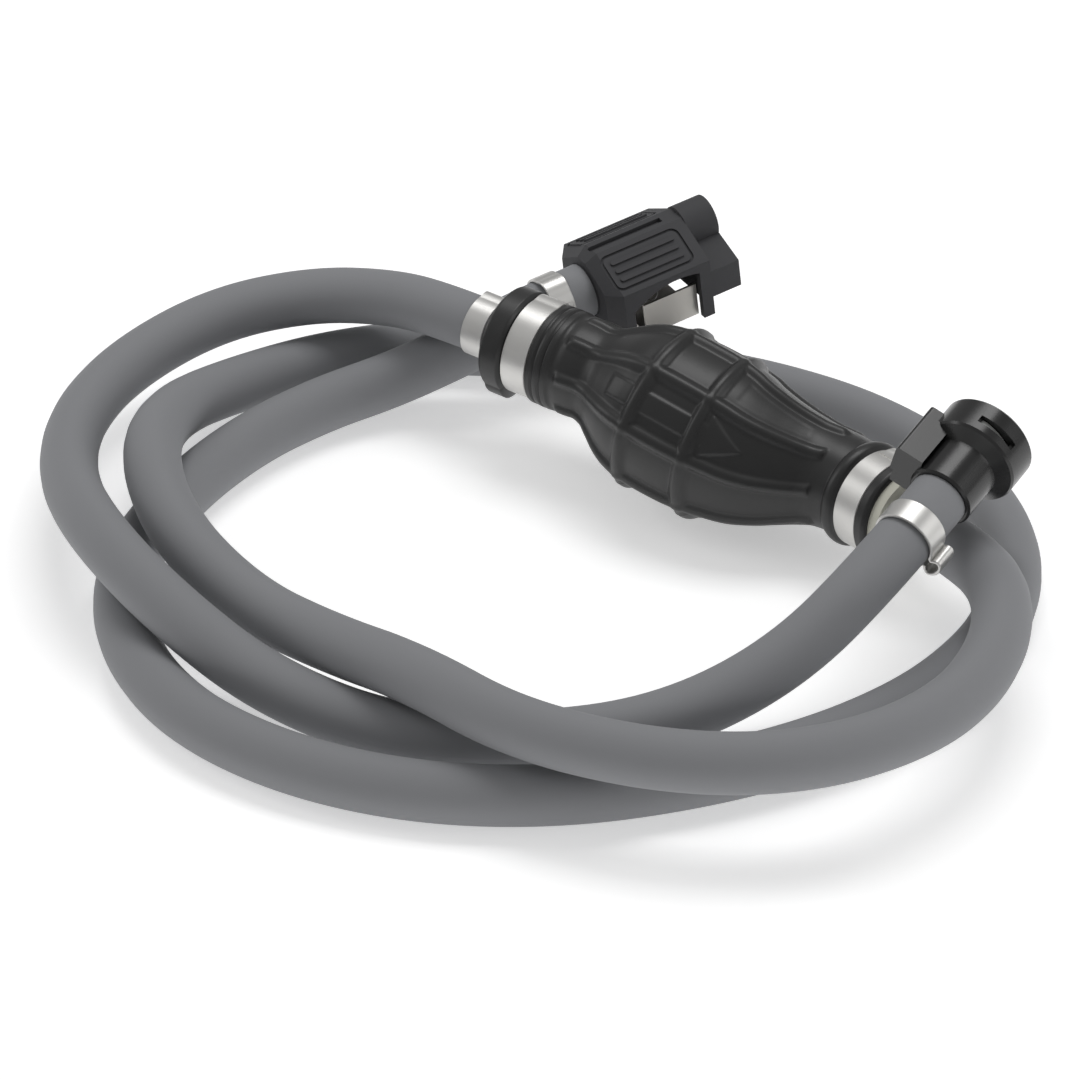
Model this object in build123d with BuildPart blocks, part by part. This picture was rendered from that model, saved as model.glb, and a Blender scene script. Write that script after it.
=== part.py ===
from build123d import *
import math
import os

# Outboard fuel line: a hand primer bulb lying on the floor, a short hose from the
# tank coupling into its inlet, and a longer looped hose from its outlet to the
# engine coupling.  Millimetres, +Z up, floor at z = 0, bulb along +X with the fuel.

os.makedirs("parts", exist_ok=True)

up = Vector(0, 0, 1)

# ------------------------------------------------------------------ hose
hose_od = 16.0
hose_bore = 9.5
arc_share = 0.45

supply_route = [
    (84, -15, 43.5),
    (84, -43, 37),
    (75, -74, 20.5),
    (56, -102, 9.5),
    (30, -128, 8),
    (-2, -145, 8),
    (-39, -149, 11),
    (-71, -149, 23),
    (-103, -138, 27.5),
    (-132, -116, 22),
    (-153, -87, 18),
    (-160, -56, 18),
    (-152, -25, 22),
    (-132, -5, 26),
    (-108, 2, 30),
    (-86, -1.5, 34.5),
    (-68, -1, 33.5),
]
delivery_route = [
    (67, -1, 22.5),
    (90, -6.5, 23),
    (110, -23, 26.5),
    (122, -47, 27),
    (125, -74, 26.5),
    (116, -102, 27),
    (98, -124, 27.5),
    (71, -138, 27),
    (37, -144, 26),
    (3, -139, 26),
    (-29, -132, 18),
    (-60, -129, 17),
    (-92, -120, 24),
    (-118, -98, 26.5),
    (-134, -68, 18.5),
    (-136, -36, 10),
    (-126, -9, 8),
    (-110, 10, 8),
    (-89, 25, 8),
    (-64, 36, 8),
    (-38, 45, 8),
    (-10, 53, 8),
    (23, 55, 8),
    (58, 46, 8),
    (88, 22, 8),
    (104, -11, 8),
    (105, -47, 8),
    (95, -81, 8),
    (76, -113, 8),
    (50, -142, 8),
    (18, -162, 8),
    (-18, -171, 8),
    (-54, -168, 8),
    (-86, -150, 8),
    (-107, -122, 8),
    (-116, -87, 8),
    (-117, -55, 8),
    (-111, -29, 8.5),
    (-101, -11, 10.5),
    (-92, 1, 15),
    (-82, 11, 21.5),
    (-72.5, 23, 27.5),
    (-66, 37, 29.5),
]

# ------------------------------------------------------------------ hose tails
tail_length = 14.0
tail_radius = hose_bore / 2
tail_crest = 0.3
tail_bore = 3.2

# ------------------------------------------------------------------ bulb
bulb_radius = 24.5
bulb_wall = 4.0
neck_radius = 13.8
lip_radius = 14.3
band_seat_radius = 13.2
plug_radius = 9.0
inlet_neck = 23.0
outlet_neck = 20.0
inlet_lip = 7.0
outlet_lip = 4.0
bulb_band_width = 8.0
ridge_pitch = 2.5
ridge_height = 0.8
rest_point = (12.0, 1.0, 23.65)
# (share of the way between the necks, share of the swell from neck to full radius)
bulb_swell = [
    (0.00, 0.00),
    (0.06, 0.08),
    (0.15, 0.48),
    (0.24, 0.83),
    (0.36, 1.00),
    (0.52, 1.00),
    (0.66, 0.90),
    (0.79, 0.62),
    (0.91, 0.23),
    (1.00, 0.00),
]

# ------------------------------------------------------------------ check valves in the bulb's necks
inlet_flange = 2.0
inlet_flange_radius = 10.5
outlet_flange = 3.0
outlet_flange_radius = 12.8
plug_length = 20.0
plate_thickness = 2.0
chamber_radius = 7.0
chamber_floor = 4.0
disc_radius = 5.2
disc_thickness = 1.8
check_travel = 2.0
check_spring_radius = 4.2
check_spring_wire = 0.6
wing_thickness = 1.0
guide_clearance = 0.1
contact_gap = 0.05

# ------------------------------------------------------------------ clamps
band_thickness = 0.9
band_squeeze = 0.1
hose_band_width = 7.0
tank_band_start = -18.0
engine_band_start = -14.0
ear_floor = 0.3
ear_across = 6.4
ear_rise = 3.2
flat_ear_rise = 1.0
flat_ear_across = 8.0

# ------------------------------------------------------------------ tank coupling
stem_radius = 9.3
stem_length = 16.0
dish_rise = 3.0
collar_radius = 13.4
collar_length = 10.0
socket_radius = 9.0
socket_floor = 17.0
tank_chamber_radius = 5.0
tank_chamber_floor = 3.0
seat_thickness = 2.0
seat_hole = 3.4
nose_radius = 2.6
nose_reach = 3.0
poppet_rim_gap = 0.4
poppet_thickness = 2.4
poppet_travel = 2.0
poppet_stem_radius = 1.2
poppet_stem_length = 7.0
poppet_spring_wire = 0.6
seal_wire = 0.7
latch_plate_start = 18.5
latch_plate_thickness = 2.0
latch_plate_radius = 11.9
latch_shift = 2.0
latch_clearance = 0.2
button_half_width = 5.0
button_from = 12.2
button_to = 16.5
button_start = 3.0
block_half_width = 7.0
block_from = 8.0
block_to = 15.0
block_start = 1.5
button_travel = 1.8
button_spring_radius = 2.0
button_spring_wire = 0.5
window_half_angle = 26.0

# ------------------------------------------------------------------ engine coupling
shell_length = 32.6
shell_wall = 2.0
shell_top = 12.7
shell_top_half = 3.0
shell_shoulder = 5.1
shell_half_width = 17.0
shell_bottom = -13.5
shell_rear = 4.0
rear_shrink = 4.0
grip_length = 26.0
grip_height = 12.4
grip_start = 3.4
groove_width = 0.8
groove_depth = 0.6
grip_ridge_length = 21.0
grip_ridge_width = 1.3
grip_ridge_height = 0.6
grip_ridge_pitch = 2.9
channel_length = 24.0
channel_width = 2.2
channel_depth = 1.2
window_start = 7.0
window_end = 29.0
window_top = 3.2
core_radius = 8.0
mouth_wall = 2.6
mouth_reach = 9.7
mouth_half_width = 16.5
mouth_shoulder = 0.7
mouth_bottom = -8.0
guide_height = 7.0
guide_radius = 6.75
pin_bore_height = 8.2
pin_bore_radius = 2.2
pin_bore_depth = 12.0
port_radius = 4.5
port_seat = 33.5
seal_groove = 2.0
seal_groove_radius = 4.8
engine_chamber_radius = 5.0
engine_chamber_floor = 18.0
engine_seat_hole = 3.0
engine_nose_radius = 2.2
engine_nose_reach = 1.5
latch_leg_at = 14.0
latch_sheet = 0.8
latch_start = 11.3
latch_end = 28.7
latch_top = -2.8
latch_bottom = -13.2
latch_travel = 3.0
latch_spring_radius = 3.0
latch_spring_wire = 0.5


def frame_at(point, direction, toward):
    """Plane at a point with z along direction and x as near to toward as it can be."""
    z = Vector(*direction).normalized()
    side = z.cross(Vector(*toward))
    return Plane(origin=point, x_dir=side.cross(z), z_dir=z)


def step(start, end):
    return Vector(*end) - Vector(*start)


def corner_radii(route):
    """Largest arc that each corner's two runs have room for."""
    radii = []
    for before, corner, after in zip(route, route[1:], route[2:]):
        arriving = step(before, corner)
        leaving = step(corner, after)
        turn = math.radians(arriving.get_angle(leaving))
        shorter = min(arriving.length, leaving.length)
        radii.append(arc_share * shorter / math.tan(turn / 2))
    return radii


def turned(base, outline, mode=Mode.ADD):
    """Turn an outline of (station, radius) points about the frame's z axis."""
    with BuildSketch(Plane(origin=base.origin, x_dir=base.z_dir, z_dir=base.y_dir)) as profile:
        with BuildLine():
            Polyline(*outline, close=True)
        make_face()
    revolve(profile.sketch, axis=Axis(base.origin, base.z_dir), mode=mode)


def sleeve(base, start, end, outer, inner=0.0, mode=Mode.ADD):
    """Round plate or sleeve between two stations."""
    with BuildSketch(base.offset(start)) as face:
        Circle(outer)
        if inner > 0:
            Circle(inner, mode=Mode.SUBTRACT)
    extrude(face.sketch, amount=end - start, mode=mode)


def block(base, start, end, x_from, x_to, half_width, mode=Mode.ADD):
    """Rectangular block between two stations, centred across y."""
    with BuildSketch(base.offset(start)) as face:
        with Locations(((x_from + x_to) / 2, 0)):
            Rectangle(x_to - x_from, 2 * half_width)
    extrude(face.sketch, amount=end - start, mode=mode)


def hose_tail(base):
    """Barbed tail that runs back from the frame into the hose."""
    pitch = tail_length / 4
    outline = [(0.5, tail_bore), (0.5, tail_radius)]
    for n in range(1, 4):
        outline.append((-n * pitch, tail_radius))
        outline.append((-n * pitch, tail_radius + tail_crest))
        outline.append((-(n + 0.8) * pitch, tail_radius))
    outline.append((-tail_length, tail_radius - 0.4))
    outline.append((-tail_length, tail_bore))
    turned(base, outline)


def coil(base, start, end, radius, wire, turns):
    """Round-wire compression spring between two stations."""
    height = end - start - wire
    with BuildLine() as centre:
        Helix(
            pitch=height / turns,
            height=height,
            radius=radius,
            center=base.offset(start + wire / 2).origin,
            direction=base.z_dir,
        )
    with BuildSketch(centre.line ^ 0) as section:
        Circle(wire / 2)
    sweep(section.sketch, path=centre.line, is_frenet=True)


def band(base, start, width, seat, angle, ear_rise, ear_across):
    """Clamp band on a round seat, with its pinched ear at an angle from the frame's x."""
    inner = seat - band_squeeze
    outer = inner + band_thickness
    hollow_rise = ear_rise / 2
    hollow_across = ear_across / 2 - band_thickness
    with BuildSketch(base.offset(start)) as face:
        Circle(outer)
        with PolarLocations(outer - ear_floor + hollow_rise, 1, start_angle=angle):
            Ellipse(hollow_rise + band_thickness, hollow_across + band_thickness)
            Ellipse(hollow_rise, hollow_across, mode=Mode.SUBTRACT)
        Circle(inner, mode=Mode.SUBTRACT)
    extrude(face.sketch, amount=width)


# ------------------------------------------------------------------ frames
# z of the inlet and outlet frames points into the bulb, z of the coupling frames out of the hose
supply_end = supply_route[-1]
delivery_start = delivery_route[0]
inlet = frame_at(supply_end, step(supply_route[-2], supply_end), up)
outlet = frame_at(delivery_start, step(delivery_route[1], delivery_start), up)
tank = frame_at(supply_route[0], step(supply_route[1], supply_route[0]), (-0.94, 0, 0.34))
engine = frame_at(delivery_route[-1], step(delivery_route[-2], delivery_route[-1]), up)

# ------------------------------------------------------------------ hoses
with BuildPart() as hose_supply:
    with BuildLine() as supply_path:
        FilletPolyline(*supply_route, radius=corner_radii(supply_route))
    with BuildSketch(supply_path.line ^ 0):
        Circle(hose_od / 2)
        Circle(hose_bore / 2, mode=Mode.SUBTRACT)
    sweep()

with BuildPart() as hose_delivery:
    with BuildLine() as delivery_path:
        FilletPolyline(*delivery_route, radius=corner_radii(delivery_route))
    with BuildSketch(delivery_path.line ^ 0):
        Circle(hose_od / 2)
        Circle(hose_bore / 2, mode=Mode.SUBTRACT)
    sweep()

# ------------------------------------------------------------------ primer bulb
inlet_face = inlet.offset(inlet_flange)
outlet_face = outlet.offset(outlet_flange)
swell_from = inlet_face.offset(inlet_neck)
swell_to = outlet_face.offset(outlet_neck)
bulb_axis = Spline(
    swell_from.origin,
    rest_point,
    swell_to.origin,
    tangents=[swell_from.z_dir, -swell_to.z_dir],
)

inlet_band_end = inlet_lip + bulb_band_width
inlet_outline = [
    (0, plug_radius),
    (0, lip_radius - 0.8),
    (0.8, lip_radius),
    (inlet_lip - 0.8, lip_radius),
    (inlet_lip, lip_radius - 0.8),
    (inlet_lip, band_seat_radius),
    (inlet_band_end, band_seat_radius),
]
for n in range(3):
    ridge = inlet_band_end + n * ridge_pitch
    inlet_outline.append((ridge + 0.5, neck_radius + ridge_height))
    inlet_outline.append((ridge + ridge_pitch - 0.9, neck_radius + ridge_height))
    inlet_outline.append((ridge + ridge_pitch - 0.2, neck_radius))
inlet_outline.append((inlet_neck, neck_radius))
inlet_outline.append((inlet_neck, plug_radius))

outlet_band_end = outlet_lip + bulb_band_width
outlet_outline = [
    (0, plug_radius),
    (0, lip_radius - 0.8),
    (0.8, lip_radius),
    (outlet_lip - 0.8, lip_radius),
    (outlet_lip, lip_radius - 0.8),
    (outlet_lip, band_seat_radius),
    (outlet_band_end, band_seat_radius),
    (outlet_band_end + 0.6, neck_radius + ridge_height),
    (outlet_band_end + 3.0, neck_radius + ridge_height),
    (outlet_band_end + 4.0, band_seat_radius),
    (outlet_neck - 2.0, band_seat_radius),
    (outlet_neck, neck_radius),
    (outlet_neck, plug_radius),
]


def swell(from_radius, full_radius, mode=Mode.ADD):
    """Round body lofted along the bulb's axis between its two necks."""
    sections = Sketch()
    for share, fullness in bulb_swell:
        place = frame_at(bulb_axis @ share, bulb_axis % share, up)
        with BuildSketch(place) as ring:
            Circle(from_radius + fullness * (full_radius - from_radius))
        sections += ring.sketch.faces()
    loft(sections.faces(), mode=mode)


with BuildPart() as primer_bulb:
    swell(neck_radius, bulb_radius)
    swell(plug_radius, bulb_radius - bulb_wall, mode=Mode.SUBTRACT)
    turned(inlet_face, inlet_outline)
    turned(outlet_face, outlet_outline)


# ------------------------------------------------------------------ check valves
def valve_body(base, flange, flange_radius):
    """Hose tail, flange and plug in one, bored through into an open chamber."""
    hose_tail(base)
    sleeve(base, 0, flange, flange_radius, tail_bore)
    sleeve(base, flange, plug_length, plug_radius, tail_bore)
    sleeve(base, chamber_floor, plug_length, chamber_radius, mode=Mode.SUBTRACT)


def winged_disc(base, disc_at, wings_from, wings_to):
    """Flat valve disc with four guide wings that run in the bore."""
    sleeve(base, disc_at, disc_at + disc_thickness, disc_radius)
    with BuildSketch(base.offset(wings_from)) as wings:
        Rectangle(2 * (tail_bore - guide_clearance) - 0.2, wing_thickness)
        Rectangle(wing_thickness, 2 * (tail_bore - guide_clearance) - 0.2)
    extrude(wings.sketch, amount=wings_to - wings_from)


plate_at = plug_length - plate_thickness
inlet_disc_at = chamber_floor + contact_gap
outlet_disc_at = plate_at - contact_gap - disc_thickness

with BuildPart() as inlet_valve_body:
    valve_body(inlet, inlet_flange, inlet_flange_radius)

with BuildPart() as inlet_valve_cage:
    sleeve(inlet, plate_at, plug_length, chamber_radius, 2.2)
    with BuildSketch(inlet.offset(plate_at)) as windows:
        with PolarLocations(4.9, 4, start_angle=45):
            SlotOverall(3.2, 1.6, rotation=90)
    extrude(windows.sketch, amount=plate_thickness, mode=Mode.SUBTRACT)

with BuildPart() as inlet_check_disc:
    winged_disc(inlet, inlet_disc_at, -4.0, inlet_disc_at)
    sleeve(inlet, inlet_disc_at + disc_thickness, inlet_disc_at + disc_thickness + 2, 3.2)

with BuildPart() as inlet_check_spring:
    spring_from = inlet_disc_at + disc_thickness + contact_gap
    coil(inlet, spring_from, plate_at - contact_gap, check_spring_radius, check_spring_wire, 5)

with BuildPart() as outlet_valve_body:
    valve_body(outlet, outlet_flange, outlet_flange_radius)

with BuildPart() as outlet_valve_seat:
    sleeve(outlet, plate_at, plug_length, chamber_radius, tail_bore)

with BuildPart() as outlet_check_disc:
    winged_disc(outlet, outlet_disc_at, 0, outlet_disc_at)

with BuildPart() as outlet_check_spring:
    spring_to = outlet_disc_at - contact_gap
    coil(outlet, chamber_floor + contact_gap, spring_to, check_spring_radius, check_spring_wire, 5)

# ------------------------------------------------------------------ clamps
with BuildPart() as bulb_clamp_inlet:
    band(inlet_face, inlet_lip, bulb_band_width, band_seat_radius, -25, flat_ear_rise, flat_ear_across)

with BuildPart() as bulb_clamp_outlet:
    band(outlet_face, outlet_lip, bulb_band_width, band_seat_radius, 40, flat_ear_rise, flat_ear_across)

with BuildPart() as hose_clamp_inlet:
    band(inlet, -hose_band_width - 1.0, hose_band_width, hose_od / 2, -25, flat_ear_rise, ear_across)

with BuildPart() as hose_clamp_outlet:
    band(outlet, -hose_band_width - 1.0, hose_band_width, hose_od / 2, 150, ear_rise, ear_across)

with BuildPart() as hose_clamp_tank:
    band(tank, tank_band_start, hose_band_width, hose_od / 2, 200, ear_rise, ear_across)

with BuildPart() as hose_clamp_engine:
    band(engine, engine_band_start, hose_band_width, hose_od / 2, 20, flat_ear_rise, flat_ear_across)

# ------------------------------------------------------------------ tank coupling
collar_end = stem_length + collar_length
plate_end = latch_plate_start + latch_plate_thickness
slot_start = latch_plate_start - latch_clearance
slot_end = plate_end + latch_clearance
slot_radius = latch_plate_radius + 0.3
tank_seat_at = socket_floor - seat_thickness
tank_poppet_at = tank_seat_at - contact_gap - poppet_thickness

with BuildPart() as tank_body:
    hose_tail(tank)
    turned(
        tank,
        [
            (0, tail_bore),
            (0, stem_radius - 0.6),
            (0.6, stem_radius),
            (stem_length - dish_rise, stem_radius),
            (stem_length - 0.8, collar_radius - 0.4),
            (stem_length, collar_radius),
            (collar_end - 0.8, collar_radius),
            (collar_end, collar_radius - 0.8),
            (collar_end, tail_bore),
        ],
    )
    block(tank, block_start, stem_length, block_from, block_to, block_half_width)
    sleeve(tank, tank_chamber_floor, socket_floor, tank_chamber_radius, mode=Mode.SUBTRACT)
    sleeve(tank, socket_floor, collar_end, socket_radius, mode=Mode.SUBTRACT)
    sleeve(tank, slot_start, slot_end, slot_radius, mode=Mode.SUBTRACT)
    # well for the button, open through the collar's wall up to the slot
    well_half = button_half_width + latch_clearance
    well_from = button_from - button_travel - latch_clearance
    block(tank, button_start - latch_clearance, slot_end, well_from, 20, well_half, Mode.SUBTRACT)
    with Locations(tank.location * Location((well_from, 0, 9), (0, -90, 0))):
        Cylinder(
            button_spring_radius + 0.6,
            1.6,
            align=(Align.CENTER, Align.CENTER, Align.MIN),
            mode=Mode.SUBTRACT,
        )
    # one crescent window in the collar's wall on each side of the slot
    for side in (1, -1):
        with BuildSketch(tank.offset(slot_start)) as crescent:
            with PolarLocations(collar_radius, 1, start_angle=side * 105):
                Rectangle(4.4, 2 * collar_radius * math.sin(math.radians(window_half_angle)))
        extrude(crescent.sketch, amount=slot_end - slot_start, mode=Mode.SUBTRACT)

with BuildPart() as tank_valve_seat:
    sleeve(tank, tank_seat_at, socket_floor, tank_chamber_radius, seat_hole)

with BuildPart() as tank_check_poppet:
    turned(
        tank,
        [
            (tank_poppet_at - poppet_stem_length, 0),
            (tank_poppet_at - poppet_stem_length, poppet_stem_radius),
            (tank_poppet_at, poppet_stem_radius),
            (tank_poppet_at, tank_chamber_radius - poppet_rim_gap),
            (tank_poppet_at + poppet_thickness, tank_chamber_radius - poppet_rim_gap),
            (tank_poppet_at + poppet_thickness, nose_radius),
            (socket_floor + nose_reach - 0.6, nose_radius),
            (socket_floor + nose_reach, nose_radius - 0.6),
            (socket_floor + nose_reach, 0),
        ],
    )

with BuildPart() as tank_poppet_spring:
    coil(
        tank,
        tank_chamber_floor + contact_gap,
        tank_poppet_at - contact_gap,
        (tank_chamber_radius + poppet_stem_radius) / 2,
        poppet_spring_wire,
        5,
    )

with BuildPart() as tank_port_seal:
    with BuildSketch(Plane(origin=tank.origin, x_dir=tank.z_dir, z_dir=tank.y_dir)):
        with Locations((socket_floor + seal_wire, socket_radius - 0.3 - seal_wire)):
            Circle(seal_wire)
    revolve(axis=Axis(tank.origin, tank.z_dir))

# latch ring: its hole stands off the socket's axis until the button is pressed
with BuildPart() as tank_latch_plate:
    with BuildSketch(tank.offset(latch_plate_start)):
        Circle(latch_plate_radius)
        with Locations((latch_shift, 0)):
            Circle(latch_plate_radius, mode=Mode.INTERSECT)
        with Locations(((button_from + block_from) / 2, 0)):
            Rectangle(button_from - block_from + 0.2, 2 * button_half_width - 1)
        with Locations((latch_shift, 0)):
            Circle(socket_radius - 0.1, mode=Mode.SUBTRACT)
    extrude(amount=latch_plate_thickness)

with BuildPart() as tank_release_button:
    block(tank, button_start, plate_end, button_from, button_to, button_half_width)
    press_axis = Axis(tank.origin, tank.x_dir)
    long_edges = tank_release_button.edges().filter_by(Axis(tank.origin, tank.z_dir))
    fillet(long_edges.sort_by(press_axis)[-2:], 1.2)

with BuildPart() as tank_button_spring:
    press = Plane(origin=tank.from_local_coords((0, 0, 9)), x_dir=tank.z_dir, z_dir=tank.x_dir)
    coil(
        press,
        well_from - 1.6 + contact_gap,
        button_from - contact_gap,
        button_spring_radius,
        button_spring_wire,
        4,
    )

# ------------------------------------------------------------------ engine coupling
mouth_end = shell_length + mouth_reach
shell_outline = [
    (shell_bottom, shell_half_width),
    (shell_shoulder - 0.6, shell_half_width),
    (shell_shoulder, shell_half_width - 0.1),
    (shell_top - 0.2, shell_top_half),
    (shell_top - 0.2, -shell_top_half),
    (shell_shoulder, -shell_half_width + 0.1),
    (shell_shoulder - 0.6, -shell_half_width),
    (shell_bottom, -shell_half_width),
]
inside_outline = [
    (shell_bottom - 1, shell_half_width - shell_wall),
    (shell_shoulder - 1.4, shell_half_width - shell_wall),
    (shell_top - 2.4, shell_top_half - 0.6),
    (shell_top - 2.4, -shell_top_half + 0.6),
    (shell_shoulder - 1.4, -shell_half_width + shell_wall),
    (shell_bottom - 1, -shell_half_width + shell_wall),
]

with BuildPart() as engine_grip_shell:
    with BuildSketch(engine.offset(shell_rear)) as full:
        with BuildLine():
            Polyline(*shell_outline, close=True)
        make_face()
    extrude(full.sketch, amount=shell_length - shell_rear)
    # tapered rear wall, closed round the hose
    with BuildSketch(engine.offset(0.5)) as small:
        with BuildLine():
            Polyline(*[(0.78 * x + 0.4, 0.72 * y) for x, y in shell_outline], close=True)
        make_face()
    loft([small.sketch.face(), full.sketch.face()])
    with BuildSketch(engine.offset(shell_rear - 0.5)) as hollow:
        with BuildLine():
            Polyline(*inside_outline, close=True)
        make_face()
    extrude(hollow.sketch, amount=shell_length, mode=Mode.SUBTRACT)
    sleeve(engine, -1, shell_rear, core_radius + 0.1, mode=Mode.SUBTRACT)
    # arched finger window through both side walls, open below
    side_view = Plane(origin=engine.origin, x_dir=engine.z_dir, z_dir=engine.y_dir)
    with BuildSketch(side_view) as arch:
        with BuildLine():
            Polyline(
                (window_start, window_top - 5),
                (window_start, shell_bottom - 1),
                (window_end, shell_bottom - 1),
                (window_end, window_top - 1),
            )
            ThreePointArc(
                (window_end, window_top - 1),
                (window_start + 0.62 * (window_end - window_start), window_top),
                (window_start, window_top - 5),
            )
        make_face()
    extrude(arch.sketch, amount=shell_half_width + 1, both=True, mode=Mode.SUBTRACT)
    # rear leg is shorter than the front leg
    block(engine, -1, window_start + 0.1, shell_bottom - 1, shell_bottom + 3.5, 20, Mode.SUBTRACT)
    # long channel along the top
    with BuildSketch(engine.offset(grip_start)) as channel:
        with Locations((shell_top - 0.2, 0)):
            Rectangle(2 * channel_depth, channel_width)
    extrude(channel.sketch, amount=channel_length, mode=Mode.SUBTRACT)
    # framed grip panel with three long ridges on each sloping face
    for side in (1, -1):
        foot = Vector(shell_shoulder, side * (shell_half_width - 0.1), 0)
        head = Vector(shell_top - 0.2, side * shell_top_half, 0)
        slope = (head - foot).normalized()
        middle = (head + foot) / 2 + Vector(0, 0, grip_start + grip_length / 2)
        outward = Vector(-slope.Y * side, slope.X * side, 0)
        panel = Plane(
            origin=engine.from_local_coords(middle),
            x_dir=engine.z_dir,
            z_dir=engine.from_local_coords(outward) - engine.origin,
        )
        with BuildSketch(panel.offset(-groove_depth)) as groove:
            RectangleRounded(grip_length, grip_height, 2.5)
            RectangleRounded(
                grip_length - 2 * groove_width,
                grip_height - 2 * groove_width,
                1.8,
                mode=Mode.SUBTRACT,
            )
        extrude(groove.sketch, amount=2, mode=Mode.SUBTRACT)
        with BuildSketch(panel.offset(-0.3)) as ridges:
            with GridLocations(0, grip_ridge_pitch, 1, 3):
                SlotOverall(grip_ridge_length, grip_ridge_width)
        extrude(ridges.sketch, amount=grip_ridge_height + 0.3)

with BuildPart() as engine_body:
    hose_tail(engine)
    sleeve(engine, 0, shell_length - 1, core_radius, tail_bore)
    # cross wall behind the mouth, inside the shell
    with BuildSketch(engine.offset(shell_length - mouth_wall)) as wall:
        with BuildLine():
            Polyline(*[(max(x, mouth_bottom), y) for x, y in inside_outline], close=True)
        make_face()
        Circle(tail_bore, mode=Mode.SUBTRACT)
    extrude(wall.sketch, amount=mouth_wall)
    # mouth block: flat shoulders with the guide barrel on top
    with BuildSketch(engine.offset(shell_length)) as mouth:
        with BuildLine():
            Polyline(
                (mouth_bottom, -mouth_half_width),
                (mouth_shoulder, -mouth_half_width),
                (guide_height - 2.1, -guide_radius + 0.4),
                (guide_height - 2.1, guide_radius - 0.4),
                (mouth_shoulder, mouth_half_width),
                (mouth_bottom, mouth_half_width),
                close=True,
            )
        make_face()
        with Locations((guide_height, 0)):
            Circle(guide_radius)
    extrude(mouth.sketch, amount=mouth_reach)
    sleeve(engine, engine_chamber_floor, port_seat, engine_chamber_radius, mode=Mode.SUBTRACT)
    groove_end = port_seat + seal_groove
    sleeve(engine, port_seat - 1, groove_end, seal_groove_radius, mode=Mode.SUBTRACT)
    sleeve(engine, groove_end - 1, mouth_end + 1, port_radius, mode=Mode.SUBTRACT)
    with BuildSketch(engine.offset(mouth_end - pin_bore_depth)) as pin_bore:
        with Locations((pin_bore_height, 0)):
            Circle(pin_bore_radius)
    extrude(pin_bore.sketch, amount=pin_bore_depth + 1, mode=Mode.SUBTRACT)

engine_seat_at = port_seat - seat_thickness
engine_poppet_at = engine_seat_at - contact_gap - poppet_thickness

with BuildPart() as engine_valve_seat:
    sleeve(engine, engine_seat_at, port_seat, engine_chamber_radius, engine_seat_hole)

with BuildPart() as engine_check_poppet:
    turned(
        engine,
        [
            (engine_poppet_at - poppet_stem_length, 0),
            (engine_poppet_at - poppet_stem_length, poppet_stem_radius),
            (engine_poppet_at, poppet_stem_radius),
            (engine_poppet_at, engine_chamber_radius - poppet_rim_gap),
            (engine_poppet_at + poppet_thickness, engine_chamber_radius - poppet_rim_gap),
            (engine_poppet_at + poppet_thickness, engine_nose_radius),
            (port_seat + engine_nose_reach - 0.5, engine_nose_radius),
            (port_seat + engine_nose_reach, engine_nose_radius - 0.5),
            (port_seat + engine_nose_reach, 0),
        ],
    )

with BuildPart() as engine_poppet_spring:
    coil(
        engine,
        engine_chamber_floor + contact_gap,
        engine_poppet_at - contact_gap,
        (engine_chamber_radius + poppet_stem_radius) / 2,
        poppet_spring_wire,
        5,
    )

with BuildPart() as engine_port_seal:
    with BuildSketch(Plane(origin=engine.origin, x_dir=engine.z_dir, z_dir=engine.y_dir)):
        with Locations((port_seat + seal_wire, seal_groove_radius - seal_wire)):
            Circle(seal_wire)
    revolve(axis=Axis(engine.origin, engine.z_dir))

# sheet-metal U that is pushed up to free the coupling
with BuildPart() as engine_latch:
    with BuildSketch(engine.offset(latch_start)):
        with Locations(((latch_top + latch_bottom) / 2, 0)):
            Rectangle(latch_top - latch_bottom, 2 * latch_leg_at + latch_sheet)
        with Locations(((latch_top + latch_bottom) / 2 + latch_sheet, 0)):
            Rectangle(
                latch_top - latch_bottom,
                2 * latch_leg_at - latch_sheet,
                mode=Mode.SUBTRACT,
            )
    extrude(amount=latch_end - latch_start)

with BuildPart() as engine_latch_spring:
    lift = Plane(
        origin=engine.from_local_coords((0, 0, (latch_start + latch_end) / 2)),
        x_dir=engine.z_dir,
        z_dir=engine.x_dir,
    )
    coil(
        lift,
        latch_bottom + latch_sheet + contact_gap,
        -core_radius - contact_gap,
        latch_spring_radius,
        latch_spring_wire,
        2,
    )

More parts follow.
